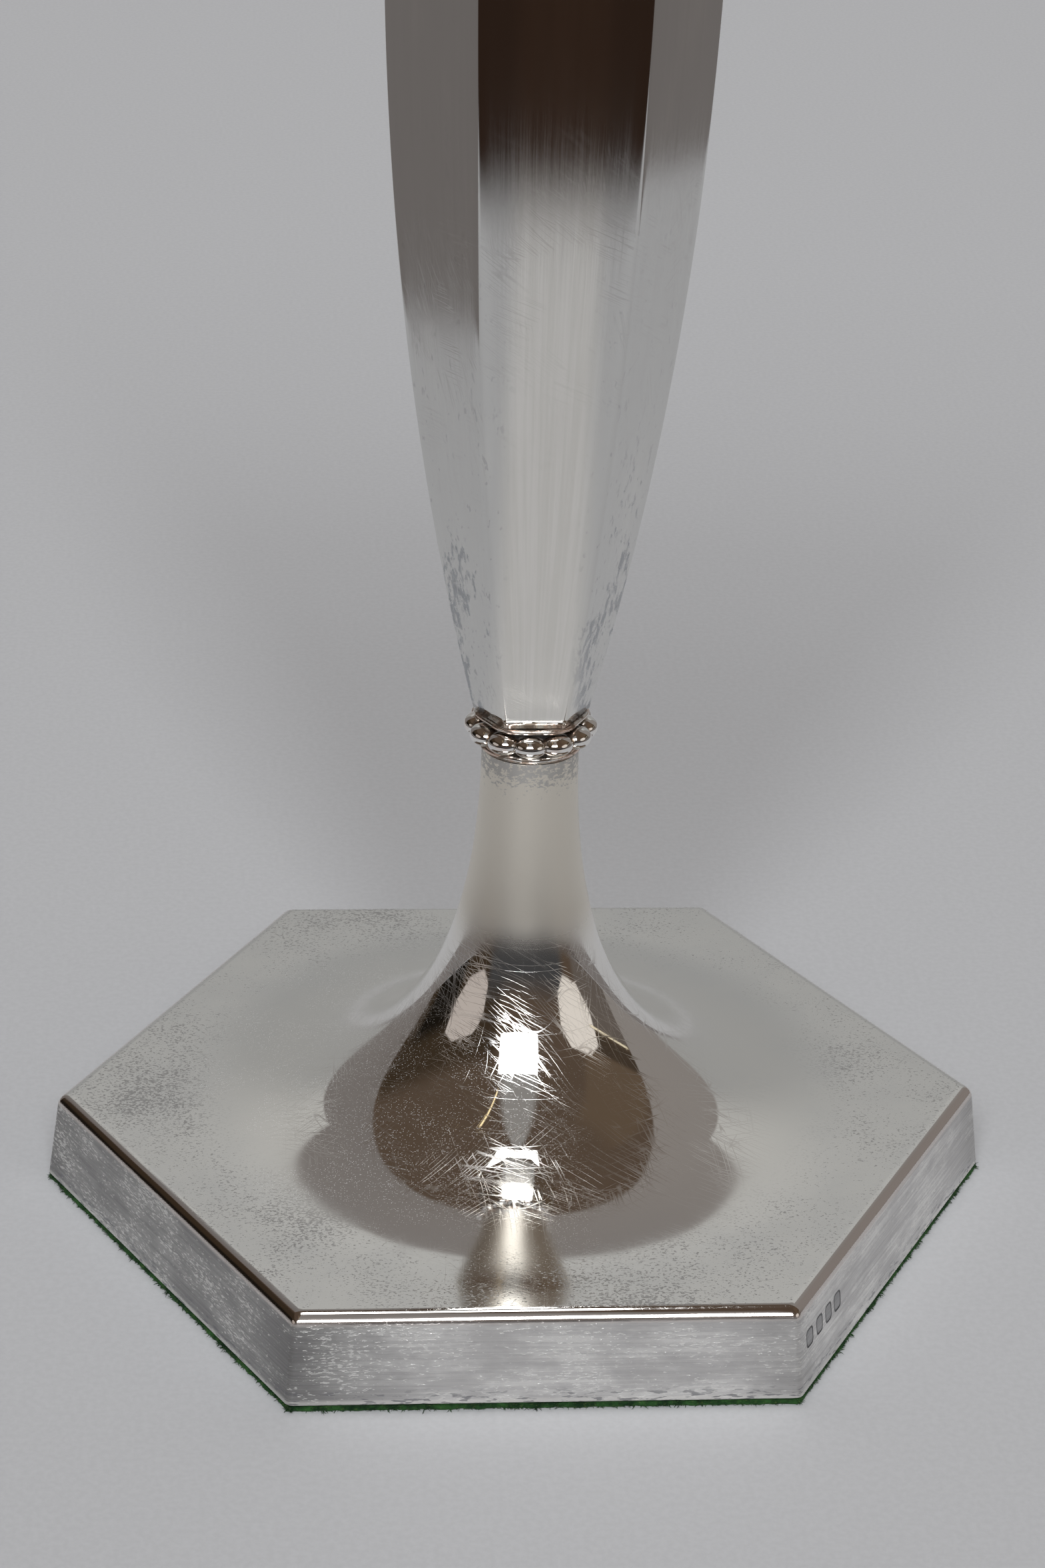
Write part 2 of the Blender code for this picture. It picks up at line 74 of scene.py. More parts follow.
# Shape of the stem, collars and sconce
RIDGE_ROUND = 0.9 * MM
STEM_FOOT_RADIUS = 9.6 * MM
STEM_TOP_RADIUS = 25.7 * MM
STEM_POWER = 2.2
SHOULDER_TOP_RADIUS = 10.0 * MM
BEADS = 12
BEAD_CIRCLE = 8.6 * MM
BEAD_DEPTH = 4.6 * MM
BEAD_OVERLAP = 1.2296
BEAD_WIDTH = 2 * BEAD_CIRCLE * sin(pi / BEADS) * BEAD_OVERLAP
BEAD_HEIGHT = 3.6 * MM
BEAD_CORE = 1.15 * MM
BEAD_GRIME = 0.75 * MM
BEAD_PHASE = radians(-4.7)
WIRE_RADIUS = 0.6 * MM
LIP_RADIUS = 10.2 * MM
SCONCE_FOOT_RADIUS = 9.6 * MM
BOWL_HEIGHT = 19.6 * MM
BOWL_RADIUS = 17.69 * MM
BOWL_POWER = 2.4
MOUTH_RADIUS = 18.59 * MM
MOUTH_EDGE = 0.15 * MM
CUP_INNER = 11.3 * MM
CUP_OUTER = 12.0 * MM
PAN_RADIUS = 24.0 * MM
PAN_KEY = 16.9 * MM
PAN_POWER = 1.6
PAN_DISH = 2.2 * MM
PAN_THICKNESS = 0.9 * MM
PLATE_WORN = 5.2 * MM
PLATE_HOLE = 3.0 * MM
BAIZE_RADIUS = 79.6 * MM
FIBRES = 5200


# ---------------- outlines and lofts


def hexagon(radius, corner_round, columns=22, corner_steps=6):
    """Points round a rounded hexagon as an array, the first corner on +X; corners get support columns."""
    corner_round = max(corner_round, 0.02 * MM)
    reach = radius - corner_round / SLANT
    half_side = reach / 2
    points = []
    for side in range(SIDES):
        corner = side * SECTOR
        centre = np.array([cos(corner), sin(corner)]) * reach
        for step in range(corner_steps + 1):
            angle = corner + SECTOR * (step / corner_steps - 0.5)
            points.append(centre + np.array([cos(angle), sin(angle)]) * corner_round)
        facing = corner + SECTOR / 2
        outward = np.array([cos(facing), sin(facing)])
        along = np.array([-sin(facing), cos(facing)])
        middle = outward * (reach * SLANT + corner_round)
        support = half_side * (1 - 0.06)
        for step in range(columns + 1):
            angle = SECTOR * (step / columns - 0.5)
            across = tan(angle) / tan(SECTOR / 2) * support
            points.append(middle + along * across)
    return np.array(points)


def circle(radius, like):
    """A circle whose points lie in the same directions as another outline's."""
    return like / np.linalg.norm(like, axis=1)[:, None] * radius


def even_circle(radius, steps):
    """A circle of evenly spaced points."""
    turns = np.arange(steps) * tau / steps
    return np.stack([np.cos(turns), np.sin(turns)], axis=1) * radius


def grid_faces(rows, count, closed):
    """Quads between rows of points, where every row runs round in a ring."""
    faces = []
    for row in range(rows if closed else rows - 1):
        below = (row + 1) % rows
        for i in range(count):
            j = (i + 1) % count
            faces.append((row * count + i, below * count + i, below * count + j, row * count + j))
    return faces


class Skin:
    """Rings of points from the outside's top downwards, and how far along the section each lies."""

    def __init__(self):
        self.rings = []
        self.along = []

    def add(self, outline, height):
        ring = np.concatenate([outline, np.full((len(outline), 1), height)], axis=1)
        if self.rings:
            step = np.linalg.norm(ring - self.rings[-1], axis=1).min()
            self.along.append(self.along[-1] + step)
        else:
            self.along.append(0.0)
        self.rings.append(ring)

    def build(self, name, closed=True, sharp=None, wobble=None):
        count = len(self.rings[0])
        points = np.concatenate(self.rings)
        if wobble is not None:
            points = wobble(points)
        rows = len(self.rings)
        faces = grid_faces(rows, count, closed)
        if not closed:
            faces.append(tuple(range(count)))
            faces.append(tuple(reversed(range((rows - 1) * count, rows * count))))
        mesh = bpy.data.meshes.new(name)
        mesh.from_pydata(points.tolist(), [], faces)
        skin = mesh.attributes.new("skin", "FLOAT_VECTOR", "POINT")
        reach = np.linalg.norm(points[:, :2], axis=1)
        flat = points[:, :2] / np.maximum(reach[:, None], 1e-6)
        along = np.repeat(np.array(self.along), count)
        unrolled = np.concatenate([flat * reach.max(), along[:, None]], axis=1)
        skin.data.foreach_set("vector", unrolled.astype(np.float32).ravel())
        facing = np.abs(np.mod(np.arctan2(points[:, 1], points[:, 0]), SECTOR) - SECTOR / 2)
        ridge = reach * np.cos(facing) * (tan(SECTOR / 2) - np.tan(facing)) / MM
        edge = mesh.attributes.new("edge", "FLOAT", "POINT")
        edge.data.foreach_set("value", ridge.astype(np.float32))
        mesh.shade_smooth()
        if sharp:
            mesh.set_sharp_from_angle(angle=radians(sharp))
        return mesh


def place(name, data):
    """A new object in the scene."""
    made = bpy.data.objects.new(name, data)
    scene.collection.objects.link(made)
    return made


def put(name, mesh, body, node, material):
    """The mesh as a piece that rides on a body and, where one is named, replaces a CAD node."""
    piece = place(name, mesh)
    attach(piece, body)
    if node:
        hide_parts(node)
    mesh.materials.append(material)
    return piece


# ---------------- foot


def trumpet(share):
    """Radius and height of the flare: upright at the neck for share 0, level at the foot for share 1."""
    turn = pi / 2 * share
    out = sin(turn) ** (2 / TRUMPET_POWER)
    up = max(cos(turn), 0.0) ** (2 / TRUMPET_POWER)
    return (
        NECK_RADIUS + (TRUMPET_RADIUS - NECK_RADIUS) * out,
        RIM_HEIGHT + (NECK_HEIGHT - RIM_HEIGHT) * up,
    )


def foot_mesh():
    """The silver foot: trumpet outside, flat top, rolled edge, drafted rim, and the wall's inside."""
    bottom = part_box("foot_shell")[0].z
    top_radius = FOOT_RADIUS - FOOT_DRAFT
    columns, corner_steps = 30, 8

    def hexa(radius, corner_round):
        return hexagon(radius, corner_round, columns, corner_steps)

    like = hexa(top_radius, CORNER_ROUND)
    draft = FOOT_DRAFT / RIM_HEIGHT
    skin = Skin()
    steps = 110
    for step in range(steps + 1):
        radius, height = trumpet(step / steps)
        skin.add(circle(radius, like), bottom + height)
    inner_edge = hexa(top_radius - EDGE_ROUND / SLANT, CORNER_ROUND * 0.6)
    rim_circle = circle(TRUMPET_RADIUS, like)
    for share in (0.15, 0.35, 0.6, 0.8, 0.93, 0.985):
        skin.add(rim_circle * (1 - share) + inner_edge * share, bottom + RIM_HEIGHT)
    round_steps = 12
    for step in range(round_steps + 1):
        turn = EDGE_TURN * step / round_steps
        drop = EDGE_ROUND * (1 - cos(turn))
        side = top_radius + draft * drop
        radius = side - EDGE_ROUND * (1 - sin(turn)) / SLANT
        share = sin(turn)
        skin.add(hexa(radius, CORNER_ROUND * (0.6 + 0.4 * share)), bottom + RIM_HEIGHT - drop)
    lip = 0.35 * MM
    low = EDGE_ROUND + 0.25 * MM
    for drop in (low, 4 * MM, 6 * MM, 8 * MM, 10 * MM, 12 * MM, 14 * MM, 14.8 * MM):
        skin.add(hexa(top_radius + draft * drop, CORNER_ROUND), bottom + RIM_HEIGHT - drop)
    for step in range(5):
        turn = pi / 2 * step / 4
        height = lip * (1 - sin(turn))
        radius = FOOT_RADIUS - draft * lip - lip * (1 - cos(turn)) / SLANT
        skin.add(hexa(radius, CORNER_ROUND), bottom + height)
    inset = WALL / SLANT
    skin.add(hexa(FOOT_RADIUS - inset, CORNER_ROUND - WALL), bottom)
    skin.add(hexa(top_radius - inset, CORNER_ROUND - WALL), bottom + RIM_HEIGHT - EDGE_ROUND)
    skin.add(hexa(top_radius - inset - EDGE_ROUND, CORNER_ROUND - WALL), bottom + RIM_HEIGHT - WALL)
    for step in range(20, -1, -1):
        radius, height = trumpet(step / 20)
        nearby_r, nearby_h = trumpet(min(step / 20 + 0.02, 1.0))
        before_r, before_h = trumpet(max(step / 20 - 0.02, 0.0))
        run = Vector((nearby_r - before_r, nearby_h - before_h)).normalized()
        height = NECK_HEIGHT if step == 0 else height + run.x * -WALL
        skin.add(circle(radius + run.y * WALL, like), bottom + height)

    def wobble(points):
        moved = points.copy()
        for i, p in enumerate(points):
            reach = hypot(p[0], p[1])
            flat = min(max((reach - 30 * MM) / (25 * MM), 0.0), 1.0)
            level = 1.0 if p[2] > bottom + RIM_HEIGHT - 0.9 * MM else 0.0
            wave = noise.noise(Vector((p[0] / 0.021, p[1] / 0.021, 0.3)))
            wave += 0.35 * noise.noise(Vector((p[0] / 0.008, p[1] / 0.008, 4.3)))
            moved[i, 2] += FLAT_WAVE * wave * flat * level - FLAT_SAG * flat * level
        return moved

    return skin.build("foot_silver", closed=True, wobble=wobble)


# ---------------- stem, collars, sconce


def facet_mesh(name, outline, corner_round, columns=10, wobble=None):
    """A hexagonal shell from (corner radius, height) pairs, top first, with a wall inside."""
    skin = Skin()
    for radius, height in outline:
        skin.add(hexagon(radius, corner_round, columns, 6), height)
    inner = [(radius - WALL / SLANT, height) for radius, height in outline]
    for radius, height in reversed(inner[:: max(1, len(inner) // 16)]):
        skin.add(hexagon(radius, corner_round * 0.5, columns, 6), height)
    return skin.build(name, closed=True, wobble=wobble)


def flare(share, low, high, power):
    """The radius of a flaring stem or bowl at a share of its height."""
    return high - (high - low) * (1 - share) ** power


def stem_mesh():
    low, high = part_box("stem_shell")
    steps = 90
    outline = []
    for step in range(steps + 1):
        share = 1 - step / steps
        radius = flare(share, STEM_FOOT_RADIUS, STEM_TOP_RADIUS, STEM_POWER)
        outline.append((radius, low.z + share * (high.z - low.z)))

    def wobble(points):
        moved = points.copy()
        for i, p in enumerate(points):
            wave = noise.noise(Vector((p[0] / 0.012, p[1] / 0.012, p[2] / 0.03 + 2.1)))
            moved[i, :2] *= 1 - 0.0012 * (1 + wave)
        return moved

    return facet_mesh("stem_silver", outline, RIDGE_ROUND, wobble=wobble, columns=12)


def shoulder_mesh():
    low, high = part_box("stem_shoulder")
    height = high.z - low.z
    outline = []
    for step in range(33):
        turn = pi / 2 * step / 32
        reach = (STEM_TOP_RADIUS - SHOULDER_TOP_RADIUS) * sin(turn)
        dome = (cos(turn) + 1 - sin(turn)) / 2
        outline.append((SHOULDER_TOP_RADIUS + reach, low.z + height * dome))
    outline.insert(0, (4.2 * MM, high.z))
    outline.insert(1, (SHOULDER_TOP_RADIUS - 0.4 * MM, high.z))
    skin = Skin()
    for radius, level in outline:
        skin.add(hexagon(radius, RIDGE_ROUND, 10, 6), level)
    for radius, level in reversed(outline[::4]):
        lower = max(level - WALL * 1.2, low.z)
        skin.add(hexagon(max(radius - WALL / SLANT, 3.6 * MM), RIDGE_ROUND * 0.5, 10, 6), lower)
    return skin.build("shoulder_silver", closed=True)


def sconce_mesh():
    low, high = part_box("sconce_shell")
    outline = [(MOUTH_RADIUS - MOUTH_EDGE, high.z), (MOUTH_RADIUS, high.z - MOUTH_EDGE)]
    span = high.z - low.z - BOWL_HEIGHT
    for step in range(1, 7):
        share = step / 6
        radius = MOUTH_RADIUS + (BOWL_RADIUS - MOUTH_RADIUS) * share
        outline.append((radius, high.z - MOUTH_EDGE - (span - MOUTH_EDGE) * share))
    for step in range(1, 41):
        share = 1 - step / 40
        radius = flare(share, SCONCE_FOOT_RADIUS, BOWL_RADIUS, BOWL_POWER)
        outline.append((radius, low.z + share * BOWL_HEIGHT))
    return facet_mesh("sconce_silver", outline, RIDGE_ROUND)


def collar_mesh(name, level):
    """Oval beads round a wire core, as one skin over the ring of their centres."""
    a, b, c = BEAD_DEPTH / 2, BEAD_WIDTH / 2, BEAD_HEIGHT / 2
    per_bead, around = 26, 36
    points, crevice = [], []
    for i in range(BEADS * per_bead):
        share = i % per_bead / per_bead
        offset = (share - 0.5) * tau / BEADS
        turn = BEAD_PHASE + (i // per_bead) * tau / BEADS + offset
        for j in range(around):
            tilt = tau * j / around
            ct, st, cd, sd = cos(tilt), sin(tilt), cos(offset), sin(offset)
            p = (ct * cd / a) ** 2 + (ct * sd / b) ** 2 + (st / c) ** 2
            q = 2 * (ct * cd * BEAD_CIRCLE * (cd - 1) / a**2 + ct * sd * BEAD_CIRCLE * sd / b**2)
            r = (BEAD_CIRCLE * (cd - 1) / a) ** 2 + (BEAD_CIRCLE * sd / b) ** 2 - 1
            reach = (-q + sqrt(max(q * q - 4 * p * r, 0))) / (2 * p)
            kept = max(reach, BEAD_CORE)
            radial = BEAD_CIRCLE + kept * ct
            points.append((radial * cos(turn), radial * sin(turn), level + c + kept * st))
            crevice.append(min(max(1.0 - (kept - BEAD_CORE) / BEAD_GRIME, 0.0), 1.0))
    mesh = bpy.data.meshes.new(name)
    mesh.from_pydata(points, [], grid_faces(BEADS * per_bead, around, True))
    mark = mesh.attributes.new("crevice", "FLOAT", "POINT")
    mark.data.foreach_set("value", crevice)
    mesh.shade_smooth()
    mesh.set_sharp_from_angle(angle=radians(50))
    return mesh


def torus_mesh(name, centre_radius, level):
    """A ring of round wire that lies on a level."""
    skin = Skin()
    for j in range(20):
        tilt = -tau * j / 20
        radius = centre_radius + WIRE_RADIUS * cos(tilt)
        skin.add(even_circle(radius, 144), level + WIRE_RADIUS + WIRE_RADIUS * sin(tilt))
    return skin.build(name, closed=True)


def plate_mesh(name, level, thickness):
    """A thin plate with its corners worn round, softened edges and a round hole."""
    skin = Skin()
    edge = thickness * 0.45
    hole = circle(PLATE_HOLE, hexagon(LIP_RADIUS, PLATE_WORN, 6, 6))
    skin.add(hole, level + thickness)
    for step in range(5):
        turn = pi / 2 * step / 4
        inset = edge * (1 - sin(turn)) / SLANT
        outline = hexagon(LIP_RADIUS - inset, PLATE_WORN, 6, 6)
        skin.add(outline, level + thickness - edge * (1 - cos(turn)))
    for step in range(5):
        turn = pi / 2 * step / 4
        inset = edge * (1 - cos(turn)) / SLANT
        skin.add(hexagon(LIP_RADIUS - inset, PLATE_WORN, 6, 6), level + edge * (1 - sin(turn)))
    skin.add(hole, level)
    return skin.build(name, closed=True, sharp=60)


def cup_mesh():
    """The nozzle's tube: from the inside's floor up, over the rim and down to the underside."""
    low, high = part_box("nozzle_cup")
    edge = 0.2 * MM
    rows = [(0.3 * MM, low.z + 0.7 * MM), (CUP_INNER - 1.2 * MM, low.z + 0.7 * MM)]
    rows.append((CUP_INNER - 0.35 * MM, low.z + 0.85 * MM))
    rows += [(CUP_INNER, low.z + level * MM) for level in (1.6, 8, 16, 24)]
    rows += [(CUP_INNER, high.z - edge), (CUP_INNER + edge, high.z)]
    rows += [(CUP_OUTER - edge, high.z), (CUP_OUTER, high.z - edge)]
    rows += [(CUP_OUTER, low.z + level * MM) for level in (20, 10, 1.2)]
    rows += [(CUP_OUTER - 0.35 * MM, low.z + 0.35 * MM), (CUP_OUTER - 1.2 * MM, low.z), (0.3 * MM, low.z)]
    skin = Skin()
    for radius, level in rows:
        skin.add(even_circle(radius, 96), level)
    return skin.build("nozzle_tube", closed=False, sharp=40)


def pan_mesh():
    """The dished drip pan with the key under it that fits the sconce's mouth."""
    low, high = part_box("drip_pan")
    top = high.z
    rest = top - PAN_DISH - PAN_THICKNESS
    hole = circle(CUP_OUTER + 0.3 * MM, hexagon(PAN_RADIUS, 1.0 * MM, 12, 6))
    skin = Skin()

    def ring(radius, height, corner_round=1.0 * MM):
        skin.add(hexagon(radius, corner_round, 12, 6), height)

    skin.add(hole, rest + PAN_THICKNESS)
    for share in (0.1, 0.25, 0.45, 0.6, 0.72, 0.84, 0.93, 1.0):
        radius = PAN_KEY + (PAN_RADIUS - 0.25 * MM - PAN_KEY) * share
        ring(radius, rest + PAN_THICKNESS + PAN_DISH * share**PAN_POWER)
    ring(PAN_RADIUS, top - 0.3 * MM)
    ring(PAN_RADIUS, top - 0.6 * MM)
    for share in (1.0, 0.84, 0.6, 0.3, 0.08):
        radius = PAN_KEY + 0.8 * MM + (PAN_RADIUS - 0.3 * MM - PAN_KEY - 0.8 * MM) * share
        ring(radius, rest + PAN_DISH * share**PAN_POWER)
    ring(PAN_KEY, rest)
    ring(PAN_KEY, low.z)
    ring(PAN_KEY - 0.92 * MM, low.z, 0.6 * MM)
    ring(PAN_KEY - 0.92 * MM, rest, 0.6 * MM)
    skin.add(hole, rest)
    return skin.build("pan_silver", closed=True, sharp=50)


def border_mesh():
    """The wire soldered round the pan's edge."""
    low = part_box("drip_pan_border")[0]
    centre = PAN_RADIUS - WIRE_RADIUS / SLANT
    skin = Skin()
    for j in range(16):
        tilt = -tau * j / 16
        radius = centre + WIRE_RADIUS / SLANT * cos(tilt)
        skin.add(hexagon(radius, 1.1 * MM, 8, 6), low.z + WIRE_RADIUS + WIRE_RADIUS * sin(tilt))
    return skin.build("pan_wire", closed=True)


# ---------------- baize


def baize_mesh():
    """The felt: a flat hexagon with a torn, lumpy edge."""
    low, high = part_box("baize_pad")
    skin = Skin()
    # Corner radius and height over the underside, from the middle of the top round to the bottom's
    rows = [
        (20 * MM, 0.9), (70 * MM, 0.9), (77 * MM, 0.9), (79.0 * MM, 0.9), (79.6 * MM, 0.8),
        (79.85 * MM, 0.55), (79.75 * MM, 0.25), (79.3 * MM, 0.0), (70 * MM, 0.0), (20 * MM, 0.0),
    ]
    for radius, height in rows:
        skin.add(hexagon(radius, 1.0 * MM, 300, 6), low.z + height * MM)

    def wobble(points):
        moved = points.copy()
        for i, p in enumerate(points):
            reach = hypot(p[0], p[1])
            facing = (atan2(p[1], p[0]) % SECTOR) - SECTOR / 2
            apothem = reach * cos(facing)
            if apothem < 66.5 * MM:
                continue
            q = Vector((p[0] / MM, p[1] / MM, p[2] / MM * 1.5))
            lump = noise.noise(q * 0.35) * 0.28 + noise.noise(q * 1.3 + Vector((7, 1, 3))) * 0.24
            lump += noise.noise(q * 3.4 + Vector((1, 9, 4))) * 0.14
            moved[i, 0] += lump * MM * p[0] / reach
            moved[i, 1] += lump * MM * p[1] / reach
            if p[2] > 0.3 * MM:
                moved[i, 2] = min(p[2] + 0.3 * lump * MM, high.z)
        return moved

    return skin.build("baize", closed=False, wobble=wobble)


def fuzz_mesh(rng):
    """Short fibres that stick out of the felt's edge, as thin closed spikes."""
    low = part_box("baize_pad")[0]
    points, faces = [], []
    outline = hexagon(BAIZE_RADIUS + 0.1 * MM, 1.0 * MM, 120, 6)
    count = len(outline)
    for _ in range(FIBRES):
        at = rng.random() * count
        i = int(at) % count
        spot = outline[i] + (outline[(i + 1) % count] - outline[i]) * (at - int(at))
        facing = atan2(spot[1], spot[0]) + rng.uniform(-1.2, 1.2)
        rise = rng.uniform(-0.5, 0.6)
        tuft = sin(at * 0.83 + 1.0) + sin(at * 2.1 + 4.0) + 0.8 * sin(at * 0.21)
        tuft = max(0.0, tuft) / 2.8
        length = rng.uniform(0.20, 0.55) * (1 + 1.7 * tuft) * MM
        base = Vector((spot[0], spot[1], low.z + rng.uniform(0.15, 0.85) * MM))
        base -= Vector((cos(facing), sin(facing), 0)) * 0.25 * MM
        way = Vector((cos(facing), sin(facing), rise)).normalized()
        tip = base + way * (length + 0.25 * MM)
        stray = Vector((rng.uniform(-1, 1), rng.uniform(-1, 1), rng.uniform(-1, 1)))
        bend = base.lerp(tip, 0.6) + stray * 0.12 * MM
        tip.z = max(tip.z, low.z + 0.02 * MM)
        bend.z = max(bend.z, low.z + 0.10 * MM)
        thick = rng.uniform(0.04, 0.08) * MM
        side = way.cross(Vector((0, 0, 1))).normalized() * thick
        lift = way.cross(side).normalized() * thick
        n = len(points)
        for centre, size in ((base, 1.0), (bend, 0.8)):
            points.append(centre + side * size)
            points.append(centre - (side * 0.5 - lift * 0.87) * size)
            points.append(centre - (side * 0.5 + lift * 0.87) * size)
        points.append(tip)
        faces.append((n, n + 1, n + 2))
        for k in range(3):
            m = (k + 1) % 3
            faces.append((n + k, n + 3 + k, n + 3 + m, n + m))
            faces.append((n + 3 + k, n + 6, n + 3 + m))
    mesh = bpy.data.meshes.new("baize_fuzz")
    mesh.from_pydata([tuple(p) for p in points], [], faces)
    mesh.shade_smooth()
    return mesh


# ---------------- materials


class Nodes:
    """Short ways to add and join nodes."""

    def __init__(self, tree):
        self.tree = tree

    def add(self, kind, **settings):
        node = self.tree.nodes.new(kind)
        for key, value in settings.items():
            setattr(node, key, value)
        return node

    def plug(self, value, socket):
        if isinstance(value, bpy.types.NodeSocket):
            self.tree.links.new(value, socket)
        else:
            socket.default_value = value

    def math(self, operation, *values):
        node = self.add("ShaderNodeMath", operation=operation)
        for value, socket in zip(values, node.inputs):
            self.plug(value, socket)
        return node.outputs[0]

    def plus(self, a, b):
        return self.math("ADD", a, b)

    def minus(self, a, b):
        return self.math("SUBTRACT", a, b)

    def times(self, a, b):
        return self.math("MULTIPLY", a, b)

    def over(self, a, b):
        return self.math("DIVIDE", a, b)

    def size(self, a):
        return self.math("ABSOLUTE", a)

    def most(self, a, b):
        return self.math("MAXIMUM", a, b)

    def ramp(self, value, low, high, to_low=0.0, to_high=1.0):
        """A smooth step from one value to another while the input goes from low to high."""
        node = self.add("ShaderNodeMapRange", interpolation_type="SMOOTHSTEP")
        values = {"Value": value, "From Min": low, "From Max": high, "To Min": to_low, "To Max": to_high}
        for name, given in values.items():
            self.plug(given, node.inputs[name])
        return node.outputs["Result"]

    def mix(self, factor, a, b, kind="MIX"):
        node = self.add("ShaderNodeMix", data_type="RGBA", blend_type=kind)
        self.plug(factor, node.inputs["Factor"])
        self.plug(a, node.inputs[6])
        self.plug(b, node.inputs[7])
        return node.outputs[2]

    def blend(self, factor, a, b):
        node = self.add("ShaderNodeMix", data_type="FLOAT")
        self.plug(factor, node.inputs[0])
        self.plug(a, node.inputs[2])
        self.plug(b, node.inputs[3])
        return node.outputs[0]

    def mapped(self, kind, vector, scale, turn, shift):
        node = self.add("ShaderNodeMapping", vector_type=kind)
        self.plug(vector, node.inputs["Vector"])
        self.plug(scale, node.inputs["Scale"])
        self.plug(turn, node.inputs["Rotation"])
        self.plug(shift, node.inputs["Location"])
        return node.outputs[0]

    def scaled(self, vector, scale, shift=(0, 0, 0)):
        return self.mapped("POINT", vector, scale, (0, 0, 0), shift)

    def turned(self, vector, scale, turn, shift):
        """The space turned first and then stretched, so that a pattern's grain can point anywhere."""
        return self.mapped("TEXTURE", vector, [1 / value for value in scale], turn, shift)

    def noise(self, vector, scale, detail, rough):
        node = self.add("ShaderNodeTexNoise")
        self.plug(vector, node.inputs["Vector"])
        self.plug(scale, node.inputs["Scale"])
        self.plug(detail, node.inputs["Detail"])
        self.plug(rough, node.inputs["Roughness"])
        return node.outputs[0]

    def grain(self, vector, scale, detail, rough, shift=(0, 0, 0)):
        """Noise in a stretched and shifted space."""
        return self.noise(self.scaled(vector, scale, shift), 1.0, detail, rough)

    def here(self):
        return self.add("ShaderNodeTexCoord").outputs["Object"]

    def skin(self):
        return self.add("ShaderNodeAttribute", attribute_name="skin").outputs["Vector"]

    def mark(self, name):
        return self.add("ShaderNodeAttribute", attribute_name=name).outputs["Fac"]

    def split(self, vector):
        node = self.add("ShaderNodeSeparateXYZ")
        self.plug(vector, node.inputs[0])
        return node.outputs

    def bump(self, height, distance, strength=1.0):
        node = self.add("ShaderNodeBump")
        self.plug(strength, node.inputs["Strength"])
        self.plug(distance, node.inputs["Distance"])
        self.plug(height, node.inputs["Height"])
        return node.outputs[0]


def shader(name, colour, roughness, metallic):
    material = bpy.data.materials.new(name)
    material.use_nodes = True
    principled = material.node_tree.nodes["Principled BSDF"]
    principled.inputs["Base Color"].default_value = (*colour, 1)
    principled.inputs["Roughness"].default_value = roughness
    principled.inputs["Metallic"].default_value = metallic
    return material, principled, Nodes(material.node_tree)


def coat(g, out, colour, roughness, height, depth):
    """Plug in a finish's colour, roughness and fine relief."""
    g.plug(colour, out.inputs["Base Color"])
    g.plug(roughness, out.inputs["Roughness"])
    g.plug(g.bump(height, depth), out.inputs["Normal"])


SILVER = (0.93, 0.915, 0.885)
# The turns of each scratch direction
FLARE_SCRATCHES = (
    (0, 0, 0.1), (0.5, 0.3, 0.9), (-0.6, 0.2, -0.7), (0.3, 0.8, 0.3),
    (0.2, -0.9, 1.4), (0.9, 0.6, 2.2), (1.3, 0.2, 0.5), (1.1, -0.9, 0.0),
)
STEM_SCRATCHES = ((0, 1.35, 0.2), (0.4, 0.9, -0.4), (0, 0.5, 0.6))
UPPER_SCRATCHES = ((0, 0.4, 0.3), (0.7, 1.2, -0.5), (0.2, 0.1, 1.3))
# Each punch's middle along the side from the corner, and its half width, in millimetres
PUNCHES = ((4.6, 1.3), (8.6, 1.2), (12.3, 1.2), (16.0, 1.3))
PUNCH_LEVEL = 8.6 * MM
PUNCH_HALF_HEIGHT = 1.5 * MM


def streaks(g, vector, scale, turn, width, shift):
    """Thin lines where noise in a turned and stretched space crosses its middle: 1 on a line, 0 off it."""
    value = g.noise(g.turned(vector, scale, turn, shift), 1.0, 0.0, 0.5)
    off = g.size(g.minus(value, 0.5))
    return g.ramp(off, 0.0, width, 1.0, 0.0)


def scratch_field(g, here, turns, long_scale, short_scale, width, sparse):
    """Scratches that cross in several directions, each broken up along its length."""
    total = None
    for i, turn in enumerate(turns):
        scale = (long_scale, long_scale, short_scale)
        line = streaks(g, here, scale, turn, width, (i * 3.1, i * 1.7, i * 5.3))
        gate = g.grain(here, (120, 120, 120), 1.0, 0.5, (i * 9.0, 0, 4.0))
        line = g.times(line, g.ramp(gate, sparse, sparse + 0.12))
        total = line if total is None else g.most(total, line)
    return total


def punches(g, x, y, z, bottom):
    """Blank punches struck beside the front right corner: their recesses and their outlines."""
    along = g.plus(g.times(x, 0.5), g.times(y, SLANT))
    along = g.plus(along, FOOT_RADIUS / 2)
    facing = g.minus(g.times(x, SLANT), g.times(y, 0.5))
    side = g.ramp(facing, 0.82 * FOOT_RADIUS, 0.83 * FOOT_RADIUS)
    up = g.size(g.minus(z, bottom + PUNCH_LEVEL))
    recess, outline = None, None
    for middle, half in PUNCHES:
        across = g.size(g.minus(along, middle * MM))
        a = g.math("POWER", g.over(across, half * MM), 4.0)
        b = g.math("POWER", g.over(up, PUNCH_HALF_HEIGHT), 4.0)
        off = g.plus(a, b)
        inside = g.ramp(off, 1.0, 0.6)
        ring = g.times(g.ramp(off, 1.5, 1.1), g.ramp(off, 0.30, 0.75))
        recess = inside if recess is None else g.most(recess, inside)
        outline = ring if outline is None else g.most(outline, ring)
    return g.times(recess, side), g.times(outline, side)


